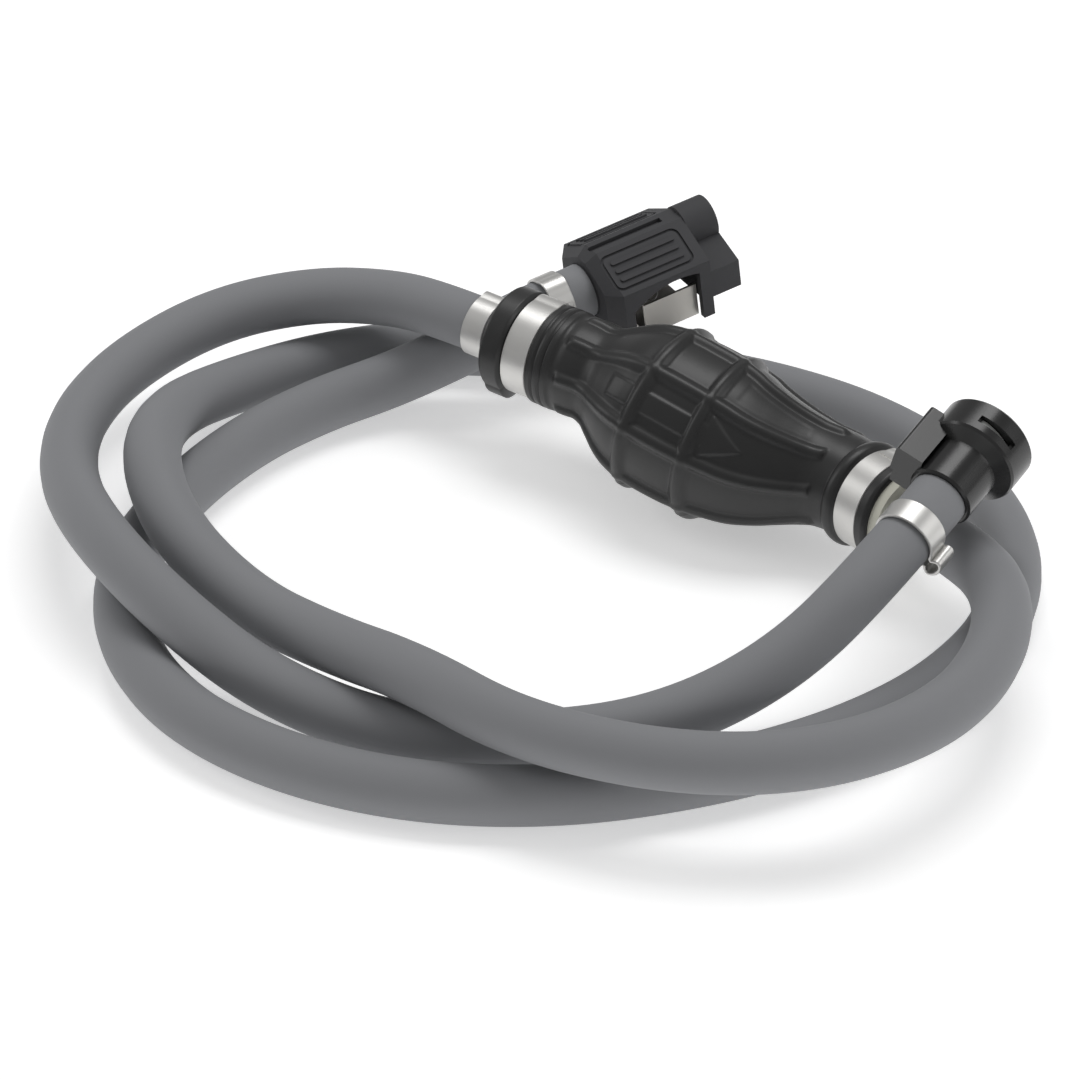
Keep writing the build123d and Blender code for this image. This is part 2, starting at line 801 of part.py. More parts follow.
# ------------------------------------------------------------------ output
nodes = {
    "hose_supply": hose_supply,
    "hose_delivery": hose_delivery,
    "primer_bulb": primer_bulb,
    "inlet_valve_body": inlet_valve_body,
    "inlet_valve_cage": inlet_valve_cage,
    "inlet_check_disc": inlet_check_disc,
    "inlet_check_spring": inlet_check_spring,
    "outlet_valve_body": outlet_valve_body,
    "outlet_valve_seat": outlet_valve_seat,
    "outlet_check_disc": outlet_check_disc,
    "outlet_check_spring": outlet_check_spring,
    "bulb_clamp_inlet": bulb_clamp_inlet,
    "bulb_clamp_outlet": bulb_clamp_outlet,
    "hose_clamp_inlet": hose_clamp_inlet,
    "hose_clamp_outlet": hose_clamp_outlet,
    "hose_clamp_tank": hose_clamp_tank,
    "hose_clamp_engine": hose_clamp_engine,
    "tank_body": tank_body,
    "tank_valve_seat": tank_valve_seat,
    "tank_check_poppet": tank_check_poppet,
    "tank_poppet_spring": tank_poppet_spring,
    "tank_port_seal": tank_port_seal,
    "tank_latch_plate": tank_latch_plate,
    "tank_release_button": tank_release_button,
    "tank_button_spring": tank_button_spring,
    "engine_grip_shell": engine_grip_shell,
    "engine_body": engine_body,
    "engine_valve_seat": engine_valve_seat,
    "engine_check_poppet": engine_check_poppet,
    "engine_poppet_spring": engine_poppet_spring,
    "engine_port_seal": engine_port_seal,
    "engine_latch": engine_latch,
    "engine_latch_spring": engine_latch_spring,
}
for label, node in nodes.items():
    node.part.label = label
    export_step(node.part, f"parts/{label}.step")

section_area = math.pi * (hose_od**2 - hose_bore**2) / 4
for label, path, node in (
    ("supply", supply_path, hose_supply),
    ("delivery", delivery_path, hose_delivery),
):
    length = sum(edge.length for edge in path.edges())
    print(f"{label} hose length {length:.1f} mm, volume ratio {node.part.volume / length / section_area:.5f}")
print("supply radii", [round(r) for r in corner_radii(supply_route)])
print("delivery radii", [round(r) for r in corner_radii(delivery_route)])
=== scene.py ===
import math
from collections import namedtuple

import bmesh
import bpy
import numpy as np
from bpy.props import FloatProperty, FloatVectorProperty, IntProperty, PointerProperty
from bpy.types import Operator, Panel, PropertyGroup
from mathutils import Matrix, Vector


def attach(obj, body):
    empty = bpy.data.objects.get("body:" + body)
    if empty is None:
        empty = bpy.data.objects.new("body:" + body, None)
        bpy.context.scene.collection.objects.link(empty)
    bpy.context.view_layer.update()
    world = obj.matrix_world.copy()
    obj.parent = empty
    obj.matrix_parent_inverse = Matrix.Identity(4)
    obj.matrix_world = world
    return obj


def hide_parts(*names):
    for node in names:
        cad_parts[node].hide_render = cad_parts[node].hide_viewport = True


bl_info = {
    "name": "Outboard Fuel Line",
    "version": (1, 0, 0),
    "blender": (4, 5, 0),
    "location": "3D Viewport > Sidebar > Fuel Line",
    "description": "Dresses a fuel line: hoses, ribbed primer bulb, clamps, couplings and stage",
    "category": "Object",
}

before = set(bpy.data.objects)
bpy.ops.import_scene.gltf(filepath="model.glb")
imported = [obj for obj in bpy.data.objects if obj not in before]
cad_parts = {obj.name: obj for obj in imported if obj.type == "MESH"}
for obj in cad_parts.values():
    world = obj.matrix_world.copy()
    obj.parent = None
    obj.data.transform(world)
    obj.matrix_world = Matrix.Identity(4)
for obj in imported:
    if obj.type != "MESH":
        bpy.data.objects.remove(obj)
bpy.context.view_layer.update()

MM = 0.001
UP = Vector((0, 0, 1))

# ---------------------------------------------------------------- routes and frames
# Millimetres.  The supply hose is listed from the bulb's inlet to the tank coupling.
SUPPLY_ROUTE = [
    (-68, -1, 33.5),
    (-86, -1.5, 34.5),
    (-108, 2, 30),
    (-132, -5, 26),
    (-152, -25, 22),
    (-160, -56, 18),
    (-153, -87, 18),
    (-132, -116, 22),
    (-103, -138, 27.5),
    (-71, -149, 23),
    (-39, -149, 11),
    (-2, -145, 8),
    (30, -128, 8),
    (56, -102, 9.5),
    (75, -74, 20.5),
    (84, -43, 37),
    (84, -15, 43.5),
]
DELIVERY_ROUTE = [
    (67, -1, 22.5),
    (90, -6.5, 23),
    (110, -23, 26.5),
    (122, -47, 27),
    (125, -74, 26.5),
    (116, -102, 27),
    (98, -124, 27.5),
    (71, -138, 27),
    (37, -144, 26),
    (3, -139, 26),
    (-29, -132, 18),
    (-60, -129, 17),
    (-92, -120, 24),
    (-118, -98, 26.5),
    (-134, -68, 18.5),
    (-136, -36, 10),
    (-126, -9, 8),
    (-110, 10, 8),
    (-89, 25, 8),
    (-64, 36, 8),
    (-38, 45, 8),
    (-10, 53, 8),
    (23, 55, 8),
    (58, 46, 8),
    (88, 22, 8),
    (104, -11, 8),
    (105, -47, 8),
    (95, -81, 8),
    (76, -113, 8),
    (50, -142, 8),
    (18, -162, 8),
    (-18, -171, 8),
    (-54, -168, 8),
    (-86, -150, 8),
    (-107, -122, 8),
    (-116, -87, 8),
    (-117, -55, 8),
    (-111, -29, 8.5),
    (-101, -11, 10.5),
    (-92, 1, 15),
    (-82, 11, 21.5),
    (-72.5, 23, 27.5),
    (-66, 37, 29.5),
]
REST_POINT = Vector((12.0, 1.0, 23.65)) * MM
CAMERA_AT = Vector((0.64575, -0.99752, 0.79016))
CAMERA_AIM = Vector((-0.02778, -0.03905, 0.0))
CAMERA_LENS = 170.74
# the side of the bulb that carries the arrow
ARROW_SIDE = Vector((0.4767, -0.6783, 0.5592))


def frame_at(point, direction, toward):
    """Matrix with its origin at a point in mm, z along direction, x as near to toward as it can be."""
    z = Vector(direction).normalized()
    side = z.cross(Vector(toward))
    x = side.cross(z).normalized()
    y = z.cross(x)
    m = Matrix((x, y, z)).transposed().to_4x4()
    m.translation = Vector(point) * MM
    return m


def run(start, end):
    return Vector(end) - Vector(start)


INLET = frame_at(SUPPLY_ROUTE[0], run(SUPPLY_ROUTE[1], SUPPLY_ROUTE[0]), UP)
OUTLET = frame_at(DELIVERY_ROUTE[0], run(DELIVERY_ROUTE[1], DELIVERY_ROUTE[0]), UP)
TANK = frame_at(SUPPLY_ROUTE[-1], run(SUPPLY_ROUTE[-2], SUPPLY_ROUTE[-1]), (-0.94, 0, 0.34))
ENGINE = frame_at(DELIVERY_ROUTE[-1], run(DELIVERY_ROUTE[-2], DELIVERY_ROUTE[-1]), UP)


# ---------------------------------------------------------------- sizes and colours
class HoseSettings(PropertyGroup):
    outside: FloatProperty(
        name="Outside Diameter",
        description="Outside diameter of both hoses",
        default=0.016,
        unit="LENGTH",
    )
    supply_length: FloatProperty(
        name="Supply Length",
        description="Length of the hose between the tank coupling and the bulb",
        default=0.505,
        unit="LENGTH",
    )
    delivery_length: FloatProperty(
        name="Delivery Length",
        description="Length of the hose between the bulb and the engine coupling",
        default=1.268,
        unit="LENGTH",
    )
    colour: FloatVectorProperty(
        name="Hose Grey",
        description="Base colour of the hose rubber",
        default=(0.118, 0.122, 0.13),
        subtype="COLOR",
        min=0,
        max=1,
    )


class BulbSettings(PropertyGroup):
    rib_count: IntProperty(
        name="Long Ribs",
        description="Number of ribs that run from neck to neck",
        default=8,
        min=0,
        max=24,
    )
    rib_height: FloatProperty(
        name="Rib Height",
        description="Height of the ribs over the panels",
        default=0.0017,
        unit="LENGTH",
    )
    rib_width: FloatProperty(
        name="Rib Width",
        description="Width of a rib at half its height",
        default=0.0029,
        unit="LENGTH",
    )
    arrow_height: FloatProperty(
        name="Arrow Height",
        description="Height of the raised flow arrow",
        default=0.0006,
        unit="LENGTH",
    )
    colour: FloatVectorProperty(
        name="Bulb Black",
        description="Base colour of the bulb rubber",
        default=(0.0115, 0.0118, 0.0135),
        subtype="COLOR",
        min=0,
        max=1,
    )


class ClampSettings(PropertyGroup):
    thickness: FloatProperty(
        name="Band Thickness",
        description="Sheet thickness of the clamp bands",
        default=0.0009,
        unit="LENGTH",
    )
    mark_count: IntProperty(
        name="Size Marks",
        description="Number of pressed marks on the tank clamp's tab",
        default=3,
        min=0,
        max=8,
    )
    mark_pitch: FloatProperty(
        name="Mark Pitch",
        description="Angle between neighbouring pressed marks",
        default=math.radians(17.0),
        subtype="ANGLE",
    )
    colour: FloatVectorProperty(
        name="Stainless",
        description="Base colour of the stainless bands",
        default=(0.62, 0.61, 0.59),
        subtype="COLOR",
        min=0,
        max=1,
    )


class CouplingSettings(PropertyGroup):
    tank_colour: FloatVectorProperty(
        name="Tank Coupling Black",
        description="Base colour of the tank coupling's glossy plastic",
        default=(0.007, 0.007, 0.0075),
        subtype="COLOR",
        min=0,
        max=1,
    )
    engine_colour: FloatVectorProperty(
        name="Engine Coupling Black",
        description="Base colour of the engine coupling's textured plastic",
        default=(0.030, 0.031, 0.032),
        subtype="COLOR",
        min=0,
        max=1,
    )
    edge_round: FloatProperty(
        name="Edge Rounding",
        description="Radius of the moulded edges",
        default=0.0006,
        unit="LENGTH",
    )


class StageSettings(PropertyGroup):
    floor_size: FloatProperty(
        name="Floor Size",
        description="Side length of the square floor",
        default=12.0,
        unit="LENGTH",
    )
    ambient: FloatProperty(
        name="Ambient",
        description="Strength of the surrounding white light",
        default=0.34,
        min=0,
    )
    key_power: FloatProperty(
        name="Overhead Power",
        description="Power of the large overhead softbox",
        default=6.5,
        min=0,
    )


# ---------------------------------------------------------------- shader groups
def group_sockets(tree, inputs, outputs):
    for name, kind, value in inputs:
        socket = tree.interface.new_socket(name, in_out="INPUT", socket_type=kind)
        if value is not None:
            socket.default_value = value
    for name, kind in outputs:
        tree.interface.new_socket(name, in_out="OUTPUT", socket_type=kind)
    return tree.nodes.new("NodeGroupInput"), tree.nodes.new("NodeGroupOutput")


def noise_node(tree, vector, scale, detail=3.0, rough=0.5, size=None):
    node = tree.nodes.new("ShaderNodeTexNoise")
    tree.links.new(vector, node.inputs["Vector"])
    if size is not None:
        tree.links.new(size, node.inputs["Scale"])
    else:
        node.inputs["Scale"].default_value = scale
    node.inputs["Detail"].default_value = detail
    node.inputs["Roughness"].default_value = rough
    return node


def span_node(tree, value, from_low, from_high, to_low, to_high):
    node = tree.nodes.new("ShaderNodeMapRange")
    tree.links.new(value, node.inputs["Value"])
    node.inputs["From Min"].default_value = from_low
    node.inputs["From Max"].default_value = from_high
    for name, to in (("To Min", to_low), ("To Max", to_high)):
        if isinstance(to, (int, float)):
            node.inputs[name].default_value = to
        else:
            tree.links.new(to, node.inputs[name])
    return node.outputs["Result"]


def maths(tree, operation, a, b):
    node = tree.nodes.new("ShaderNodeMath")
    node.operation = operation
    for socket, value in zip(node.inputs, (a, b)):
        if isinstance(value, (int, float)):
            socket.default_value = value
        else:
            tree.links.new(value, socket)
    return node.outputs[0]


def mottle_group():
    """Slow colour and gloss variation of moulded rubber and plastic."""
    name = "mottle"
    if name in bpy.data.node_groups:
        return bpy.data.node_groups[name]
    tree = bpy.data.node_groups.new(name, "ShaderNodeTree")
    source, sink = group_sockets(
        tree,
        [
            ("Vector", "NodeSocketVector", None),
            ("Scale", "NodeSocketFloat", 40.0),
            ("Dark", "NodeSocketColor", (0.02, 0.02, 0.02, 1)),
            ("Light", "NodeSocketColor", (0.03, 0.03, 0.03, 1)),
            ("Gloss Low", "NodeSocketFloat", 0.4),
            ("Gloss High", "NodeSocketFloat", 0.5),
        ],
        [("Color", "NodeSocketColor"), ("Roughness", "NodeSocketFloat")],
    )
    vector = source.outputs["Vector"]
    broad = noise_node(tree, vector, 40, 4.0, 0.6, source.outputs["Scale"])
    fine = noise_node(tree, vector, 900, 2.0, 0.5)
    slow_share = maths(tree, "MULTIPLY", broad.outputs["Fac"], 0.75)
    fine_share = maths(tree, "MULTIPLY", fine.outputs["Fac"], 0.25)
    blend = maths(tree, "ADD", slow_share, fine_share)
    mask = span_node(tree, blend, 0.35, 0.65, 0.0, 1.0)
    mix = tree.nodes.new("ShaderNodeMix")
    mix.data_type = "RGBA"
    tree.links.new(mask, mix.inputs["Factor"])
    tree.links.new(source.outputs["Dark"], mix.inputs["A"])
    tree.links.new(source.outputs["Light"], mix.inputs["B"])
    tree.links.new(mix.outputs["Result"], sink.inputs["Color"])
    rough = span_node(tree, blend, 0.35, 0.65, source.outputs["Gloss Low"], source.outputs["Gloss High"])
    tree.links.new(rough, sink.inputs["Roughness"])
    return tree


def grain_group():
    """Fine moulded grain over a slower unevenness, as a height."""
    name = "moulded_grain"
    if name in bpy.data.node_groups:
        return bpy.data.node_groups[name]
    tree = bpy.data.node_groups.new(name, "ShaderNodeTree")
    source, sink = group_sockets(
        tree,
        [
            ("Vector", "NodeSocketVector", None),
            ("Fine Scale", "NodeSocketFloat", 2500.0),
            ("Slow Scale", "NodeSocketFloat", 120.0),
            ("Slow Share", "NodeSocketFloat", 0.3),
        ],
        [("Height", "NodeSocketFloat")],
    )
    vector = source.outputs["Vector"]
    fine = noise_node(tree, vector, 2500, 2.0, 0.6, source.outputs["Fine Scale"])
    slow = noise_node(tree, vector, 120, 2.0, 0.5, source.outputs["Slow Scale"])
    share = maths(tree, "MULTIPLY", slow.outputs["Fac"], source.outputs["Slow Share"])
    tree.links.new(maths(tree, "ADD", fine.outputs["Fac"], share), sink.inputs["Height"])
    return tree


def dust_group():
    """Thin settled dust: a mask that grows on upward faces and breaks up in specks."""
    name = "settled_dust"
    if name in bpy.data.node_groups:
        return bpy.data.node_groups[name]
    tree = bpy.data.node_groups.new(name, "ShaderNodeTree")
    source, sink = group_sockets(
        tree,
        [
            ("Vector", "NodeSocketVector", None),
            ("Normal", "NodeSocketVector", None),
            ("Amount", "NodeSocketFloat", 0.05),
            ("Speck Scale", "NodeSocketFloat", 700.0),
        ],
        [("Mask", "NodeSocketFloat")],
    )
    split = tree.nodes.new("ShaderNodeSeparateXYZ")
    tree.links.new(source.outputs["Normal"], split.inputs[0])
    upward = span_node(tree, split.outputs["Z"], -0.2, 1.0, 0.15, 1.0)
    specks = noise_node(tree, source.outputs["Vector"], 700, 3.0, 0.7, source.outputs["Speck Scale"])
    broken = span_node(tree, specks.outputs["Fac"], 0.45, 0.8, 0.0, 1.0)
    mask = maths(tree, "MULTIPLY", maths(tree, "MULTIPLY", upward, broken), source.outputs["Amount"])
    tree.links.new(mask, sink.inputs["Mask"])
    return tree


def brushed_group():
    """Fine lines drawn along a strip's length, as a height and a gloss change."""
    name = "brushed_lines"
    if name in bpy.data.node_groups:
        return bpy.data.node_groups[name]
    tree = bpy.data.node_groups.new(name, "ShaderNodeTree")
    source, sink = group_sockets(
        tree,
        [
            ("Vector", "NodeSocketVector", None),
            ("Gloss Low", "NodeSocketFloat", 0.2),
            ("Gloss High", "NodeSocketFloat", 0.35),
        ],
        [("Height", "NodeSocketFloat"), ("Roughness", "NodeSocketFloat"), ("Tint", "NodeSocketFloat")],
    )
    lines = noise_node(tree, source.outputs["Vector"], 1.0, 4.0, 0.65)
    tree.links.new(lines.outputs["Fac"], sink.inputs["Height"])
    rough = span_node(
        tree, lines.outputs["Fac"], 0.3, 0.7, source.outputs["Gloss Low"], source.outputs["Gloss High"]
    )
    tree.links.new(rough, sink.inputs["Roughness"])
    tree.links.new(span_node(tree, lines.outputs["Fac"], 0.3, 0.7, 0.86, 1.0), sink.inputs["Tint"])
    return tree


# ---------------------------------------------------------------- materials
def blank_material(name):
    material = bpy.data.materials.new(name)
    material.use_nodes = True
    tree = material.node_tree
    return material, tree, tree.nodes["Principled BSDF"]


def place_group(tree, group, **values):
    node = tree.nodes.new("ShaderNodeGroup")
    node.node_tree = group
    for name, value in values.items():
        socket = node.inputs[name.replace("_", " ")]
        if isinstance(value, bpy.types.NodeSocket):
            tree.links.new(value, socket)
        else:
            socket.default_value = value
    return node


def object_coordinates(tree, stretch=None):
    coordinates = tree.nodes.new("ShaderNodeTexCoord")
    if stretch is None:
        return coordinates.outputs["Object"]
    mapping = tree.nodes.new("ShaderNodeMapping")
    mapping.inputs["Scale"].default_value = stretch
    tree.links.new(coordinates.outputs["Object"], mapping.inputs["Vector"])
    return mapping.outputs["Vector"]


def shade(colour, factor):
    return (colour[0] * factor, colour[1] * factor, colour[2] * factor, 1)


def bump_from(tree, shader, height, strength, distance, normal=None):
    bump = tree.nodes.new("ShaderNodeBump")
    bump.inputs["Strength"].default_value = strength
    bump.inputs["Distance"].default_value = distance
    tree.links.new(height, bump.inputs["Height"])
    if normal is not None:
        tree.links.new(normal, bump.inputs["Normal"])
    tree.links.new(bump.outputs["Normal"], shader.inputs["Normal"])
    return bump


def moulded_material(
    name,
    colour,
    gloss,
    spread=1.25,
    grain=0.15,
    fine=2500.0,
    slow=120.0,
    slow_share=0.3,
    depth=0.00008,
    dust=0.05,
    mottle=45.0,
    edge=None,
    specular=0.5,
    dust_colour=(0.45, 0.44, 0.42, 1),
):
    """Moulded rubber or plastic: mottled colour, grain and a little settled dust."""
    material, tree, shader = blank_material(name)
    vector = object_coordinates(tree)
    body = place_group(
        tree,
        mottle_group(),
        Vector=vector,
        Scale=mottle,
        Dark=shade(colour, 1 / spread),
        Light=shade(colour, spread),
        Gloss_Low=gloss[0],
        Gloss_High=gloss[1],
    )
    geometry = tree.nodes.new("ShaderNodeNewGeometry")
    dusty = place_group(
        tree, dust_group(), Vector=vector, Normal=geometry.outputs["Normal"], Amount=dust, Speck_Scale=800.0
    )
    mix = tree.nodes.new("ShaderNodeMix")
    mix.data_type = "RGBA"
    tree.links.new(dusty.outputs["Mask"], mix.inputs["Factor"])
    tree.links.new(body.outputs["Color"], mix.inputs["A"])
    mix.inputs["B"].default_value = dust_colour
    tree.links.new(mix.outputs["Result"], shader.inputs["Base Color"])
    tree.links.new(body.outputs["Roughness"], shader.inputs["Roughness"])
    shader.inputs["Specular IOR Level"].default_value = specular
    rounded = None
    if edge:
        bevel = tree.nodes.new("ShaderNodeBevel")
        bevel.samples = 6
        bevel.inputs["Radius"].default_value = edge
        rounded = bevel.outputs["Normal"]
    height = place_group(
        tree, grain_group(), Vector=vector, Fine_Scale=fine, Slow_Scale=slow, Slow_Share=slow_share
    )
    bump_from(tree, shader, height.outputs["Height"], grain, depth, rounded)
    return material


def metal_material(name, colour, gloss, stretch, lines=0.12, strip=False, edge=None):
    """Rolled or drawn metal with fine lines and an uneven satin gloss."""
    material, tree, shader = blank_material(name)
    if strip:
        along = tree.nodes.new("ShaderNodeUVMap")
        along.uv_map = "strip"
        mapping = tree.nodes.new("ShaderNodeMapping")
        mapping.inputs["Scale"].default_value = stretch
        tree.links.new(along.outputs["UV"], mapping.inputs["Vector"])
        vector = mapping.outputs["Vector"]
    else:
        vector = object_coordinates(tree, stretch)
    brushed = place_group(tree, brushed_group(), Vector=vector, Gloss_Low=gloss[0], Gloss_High=gloss[1])
    smudge = place_group(
        tree,
        mottle_group(),
        Vector=object_coordinates(tree),
        Scale=160.0,
        Dark=shade(colour, 0.84),
        Light=shade(colour, 1.06),
        Gloss_Low=0.0,
        Gloss_High=0.08,
    )
    tint = tree.nodes.new("ShaderNodeMix")
    tint.data_type = "RGBA"
    tint.blend_type = "MULTIPLY"
    tint.inputs["Factor"].default_value = 1.0
    tree.links.new(smudge.outputs["Color"], tint.inputs["A"])
    tree.links.new(brushed.outputs["Tint"], tint.inputs["B"])
    tree.links.new(tint.outputs["Result"], shader.inputs["Base Color"])
    gloss_sum = maths(tree, "ADD", brushed.outputs["Roughness"], smudge.outputs["Roughness"])
    tree.links.new(gloss_sum, shader.inputs["Roughness"])
    shader.inputs["Metallic"].default_value = 1.0
    rounded = None
    if edge:
        bevel = tree.nodes.new("ShaderNodeBevel")
        bevel.samples = 4
        bevel.inputs["Radius"].default_value = edge
        rounded = bevel.outputs["Normal"]
    bump_from(tree, shader, brushed.outputs["Height"], lines, 0.00004, rounded)
    return material


def finish_of(name):
    """The finish for one of the line's materials, made once."""
    if name in bpy.data.materials:
        return bpy.data.materials[name]
    scene = bpy.context.scene
    hose, bulb = scene.fuel_hose, scene.fuel_bulb
    clamp, coupling = scene.fuel_clamp, scene.fuel_coupling
    if name == "hose_rubber":
        return moulded_material(
            name, hose.colour, (0.44, 0.54), spread=1.05, grain=0.10, fine=1900.0, slow=60.0,
            slow_share=0.8, depth=0.00012, dust=0.03, mottle=22.0, specular=0.42,
        )
    if name == "bulb_rubber":
        return moulded_material(
            name, bulb.colour, (0.27, 0.38), spread=1.35, grain=0.14, fine=1500.0, slow=160.0,
            slow_share=1.2, depth=0.00012, dust=0.05, mottle=70.0,
        )
    if name == "tank_plastic":
        return moulded_material(
            name, coupling.tank_colour, (0.13, 0.22), spread=1.3, grain=0.05, fine=900.0, slow=90.0,
            slow_share=2.0, depth=0.0001, dust=0.03, edge=coupling.edge_round,
        )
    if name == "engine_plastic":
        return moulded_material(
            name, coupling.engine_colour, (0.38, 0.5), spread=1.2, grain=0.34, fine=1500.0, slow=350.0,
            slow_share=0.6, depth=0.00014, dust=0.07, edge=coupling.edge_round,
        )
    if name == "latch_plate_plastic":
        return moulded_material(
            name, (0.36, 0.37, 0.36), (0.4, 0.5), spread=1.08, grain=0.12, dust=0.04, edge=0.0002
        )
    if name == "valve_plastic_cream":
        return moulded_material(
            name, (0.6, 0.59, 0.49), (0.38, 0.5), spread=1.06, grain=0.12, dust=0.06, edge=0.0004,
            dust_colour=(0.3, 0.28, 0.24, 1),
        )
    if name == "valve_plastic_dark":
        return moulded_material(name, (0.045, 0.046, 0.05), (0.35, 0.5), spread=1.2, dust=0.05, edge=0.0004)
    if name == "valve_disc":
        return moulded_material(name, (0.62, 0.62, 0.6), (0.35, 0.45), spread=1.05, dust=0.04, edge=0.0002)
    if name == "seal_rubber":
        return moulded_material(name, (0.012, 0.012, 0.012), (0.3, 0.42), spread=1.3, grain=0.1, dust=0.02)
    if name == "clamp_steel":
        return metal_material(name, clamp.colour, (0.2, 0.34), (0.4, 55.0, 1.0), lines=0.16, strip=True)
    if name == "latch_steel":
        return metal_material(
            name, (0.5, 0.485, 0.45), (0.26, 0.42), (90.0, 260.0, 2600.0), lines=0.14, edge=0.0003
        )
    if name == "spring_steel":
        return metal_material(name, (0.6, 0.6, 0.6), (0.18, 0.28), (900.0, 900.0, 900.0), lines=0.08)
    if name == "brass":
        return metal_material(name, (0.62, 0.44, 0.19), (0.2, 0.32), (1800.0, 300.0, 1800.0), edge=0.0002)
    raise RuntimeError(f"no finish called {name}")


def dress(node, finish):
    """Give a carried-over CAD node its finish."""
    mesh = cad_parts[node].data
    mesh.materials.clear()
    mesh.materials.append(finish_of(finish))


def link_piece(name, data, finish):
    piece = bpy.data.objects.new(name, data)
    bpy.context.scene.collection.objects.link(piece)
    data.materials.clear()
    data.materials.append(finish_of(finish))
    return piece


def smooth_mesh(name, points, faces, strip=None):
    """Mesh with smooth faces, and a strip UV map where one is given per corner."""
    mesh = bpy.data.meshes.new(name)
    mesh.from_pydata([tuple(p) for p in points], [], [tuple(int(i) for i in f) for f in faces])
    if strip is not None:
        layer = mesh.uv_layers.new(name="strip")
        layer.data.foreach_set("uv", np.asarray(strip, dtype=np.float32).ravel())
    mesh.polygons.foreach_set("use_smooth", [True] * len(mesh.polygons))
    mesh.update()
    return mesh


# ---------------------------------------------------------------- finishes of the CAD pieces
VALVE_FINISHES = {
    "inlet_valve_body": "valve_plastic_dark",
    "inlet_valve_cage": "valve_plastic_dark",
    "inlet_check_disc": "valve_disc",
    "inlet_check_spring": "spring_steel",
    "outlet_valve_body": "valve_plastic_cream",
    "outlet_valve_seat": "valve_plastic_cream",
    "outlet_check_disc": "valve_disc",
    "outlet_check_spring": "spring_steel",
}
TANK_FINISHES = {
    "tank_body": "tank_plastic",
    "tank_valve_seat": "brass",
    "tank_check_poppet": "brass",
    "tank_poppet_spring": "spring_steel",
    "tank_port_seal": "seal_rubber",
    "tank_latch_plate": "latch_plate_plastic",
    "tank_release_button": "tank_plastic",
    "tank_button_spring": "spring_steel",
}
ENGINE_FINISHES = {
    "engine_grip_shell": "engine_plastic",
    "engine_body": "engine_plastic",
    "engine_valve_seat": "brass",
    "engine_check_poppet": "brass",
    "engine_poppet_spring": "spring_steel",
    "engine_port_seal": "seal_rubber",
    "engine_latch": "latch_steel",
    "engine_latch_spring": "spring_steel",
}


# ---------------------------------------------------------------- hoses
def hose_curve(name, route, outside):
    curve = bpy.data.curves.new(name, "CURVE")
    curve.dimensions = "3D"
    spline = curve.splines.new("NURBS")
    spline.points.add(len(route) - 1)
    for point, (x, y, z) in zip(spline.points, route):
        point.co = (x * MM, y * MM, z * MM, 1)
    spline.order_u = 3
    spline.use_endpoint_u = True
    spline.resolution_u = 10
    spline.use_smooth = True
    curve.bevel_depth = outside / 2
    curve.bevel_resolution = 10
    curve.use_fill_caps = True
    return curve


class FUELLINE_OT_hoses(Operator):
    """Lay the supply and delivery hoses along their routes"""

    bl_idname = "fuelline.hoses"
    bl_label = "Hoses"

    def execute(self, context):
        hose = context.scene.fuel_hose
        for name, route, length, coupling in (
            ("supply", SUPPLY_ROUTE, hose.supply_length, TANK_FINISHES),
            ("delivery", DELIVERY_ROUTE, hose.delivery_length, ENGINE_FINISHES),
        ):
            curve = hose_curve(f"{name}_hose", route, hose.outside)
            piece = link_piece(f"{name}_hose", curve, "hose_rubber")
            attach(piece, "line")
            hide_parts(f"hose_{name}")
        return {"FINISHED"}


# ---------------------------------------------------------------- primer bulb
INLET_FLANGE = 2.0
OUTLET_FLANGE = 3.0
INLET_NECK = 23.0
OUTLET_NECK = 20.0
RING_RIBS = (53.0, 72.0)
BULB_ROUNDS = 288
# turns in degrees about the axis from the arrow's side, toward the foot
FIRST_RIB = -63.0
ARROW_TURN = 5.0
PANEL_TURN = -40.0
PANEL_DEPTH = 0.12
SEAM_TURNS = (-96.0, 84.0)
SEAM_HEIGHT = 0.14
FOOT_TURN = 104.0
FOOT_HEIGHT = 1.5


def bulb_axis():
    """Stations in mm and points along the bulb's sagging axis."""
    inlet_z = INLET.col[2].to_3d()
    outlet_z = OUTLET.col[2].to_3d()
    start = INLET.translation + inlet_z * INLET_FLANGE * MM
    neck_in = start + inlet_z * INLET_NECK * MM
    finish = OUTLET.translation + outlet_z * OUTLET_FLANGE * MM
    neck_out = finish + outlet_z * OUTLET_NECK * MM
    middle = (neck_out - neck_in).normalized()
    points = [start, neck_in]
    for a, b, ta, tb in (
        (neck_in, REST_POINT, inlet_z, middle),
        (REST_POINT, neck_out, middle, -outlet_z),
    ):
        reach = (b - a).length
        for k in range(1, 41):
            t = k / 40
            h00, h10 = 2 * t**3 - 3 * t**2 + 1, t**3 - 2 * t**2 + t
            h01, h11 = -2 * t**3 + 3 * t**2, t**3 - t**2
            points.append(a * h00 + ta * reach * h10 + b * h01 + tb * reach * h11)
    points.append(finish)
    line = np.array([tuple(p) for p in points])
    gaps = np.linalg.norm(np.diff(line, axis=0), axis=1)
    stations = np.concatenate([[0.0], np.cumsum(gaps)]) / MM
    return stations, line


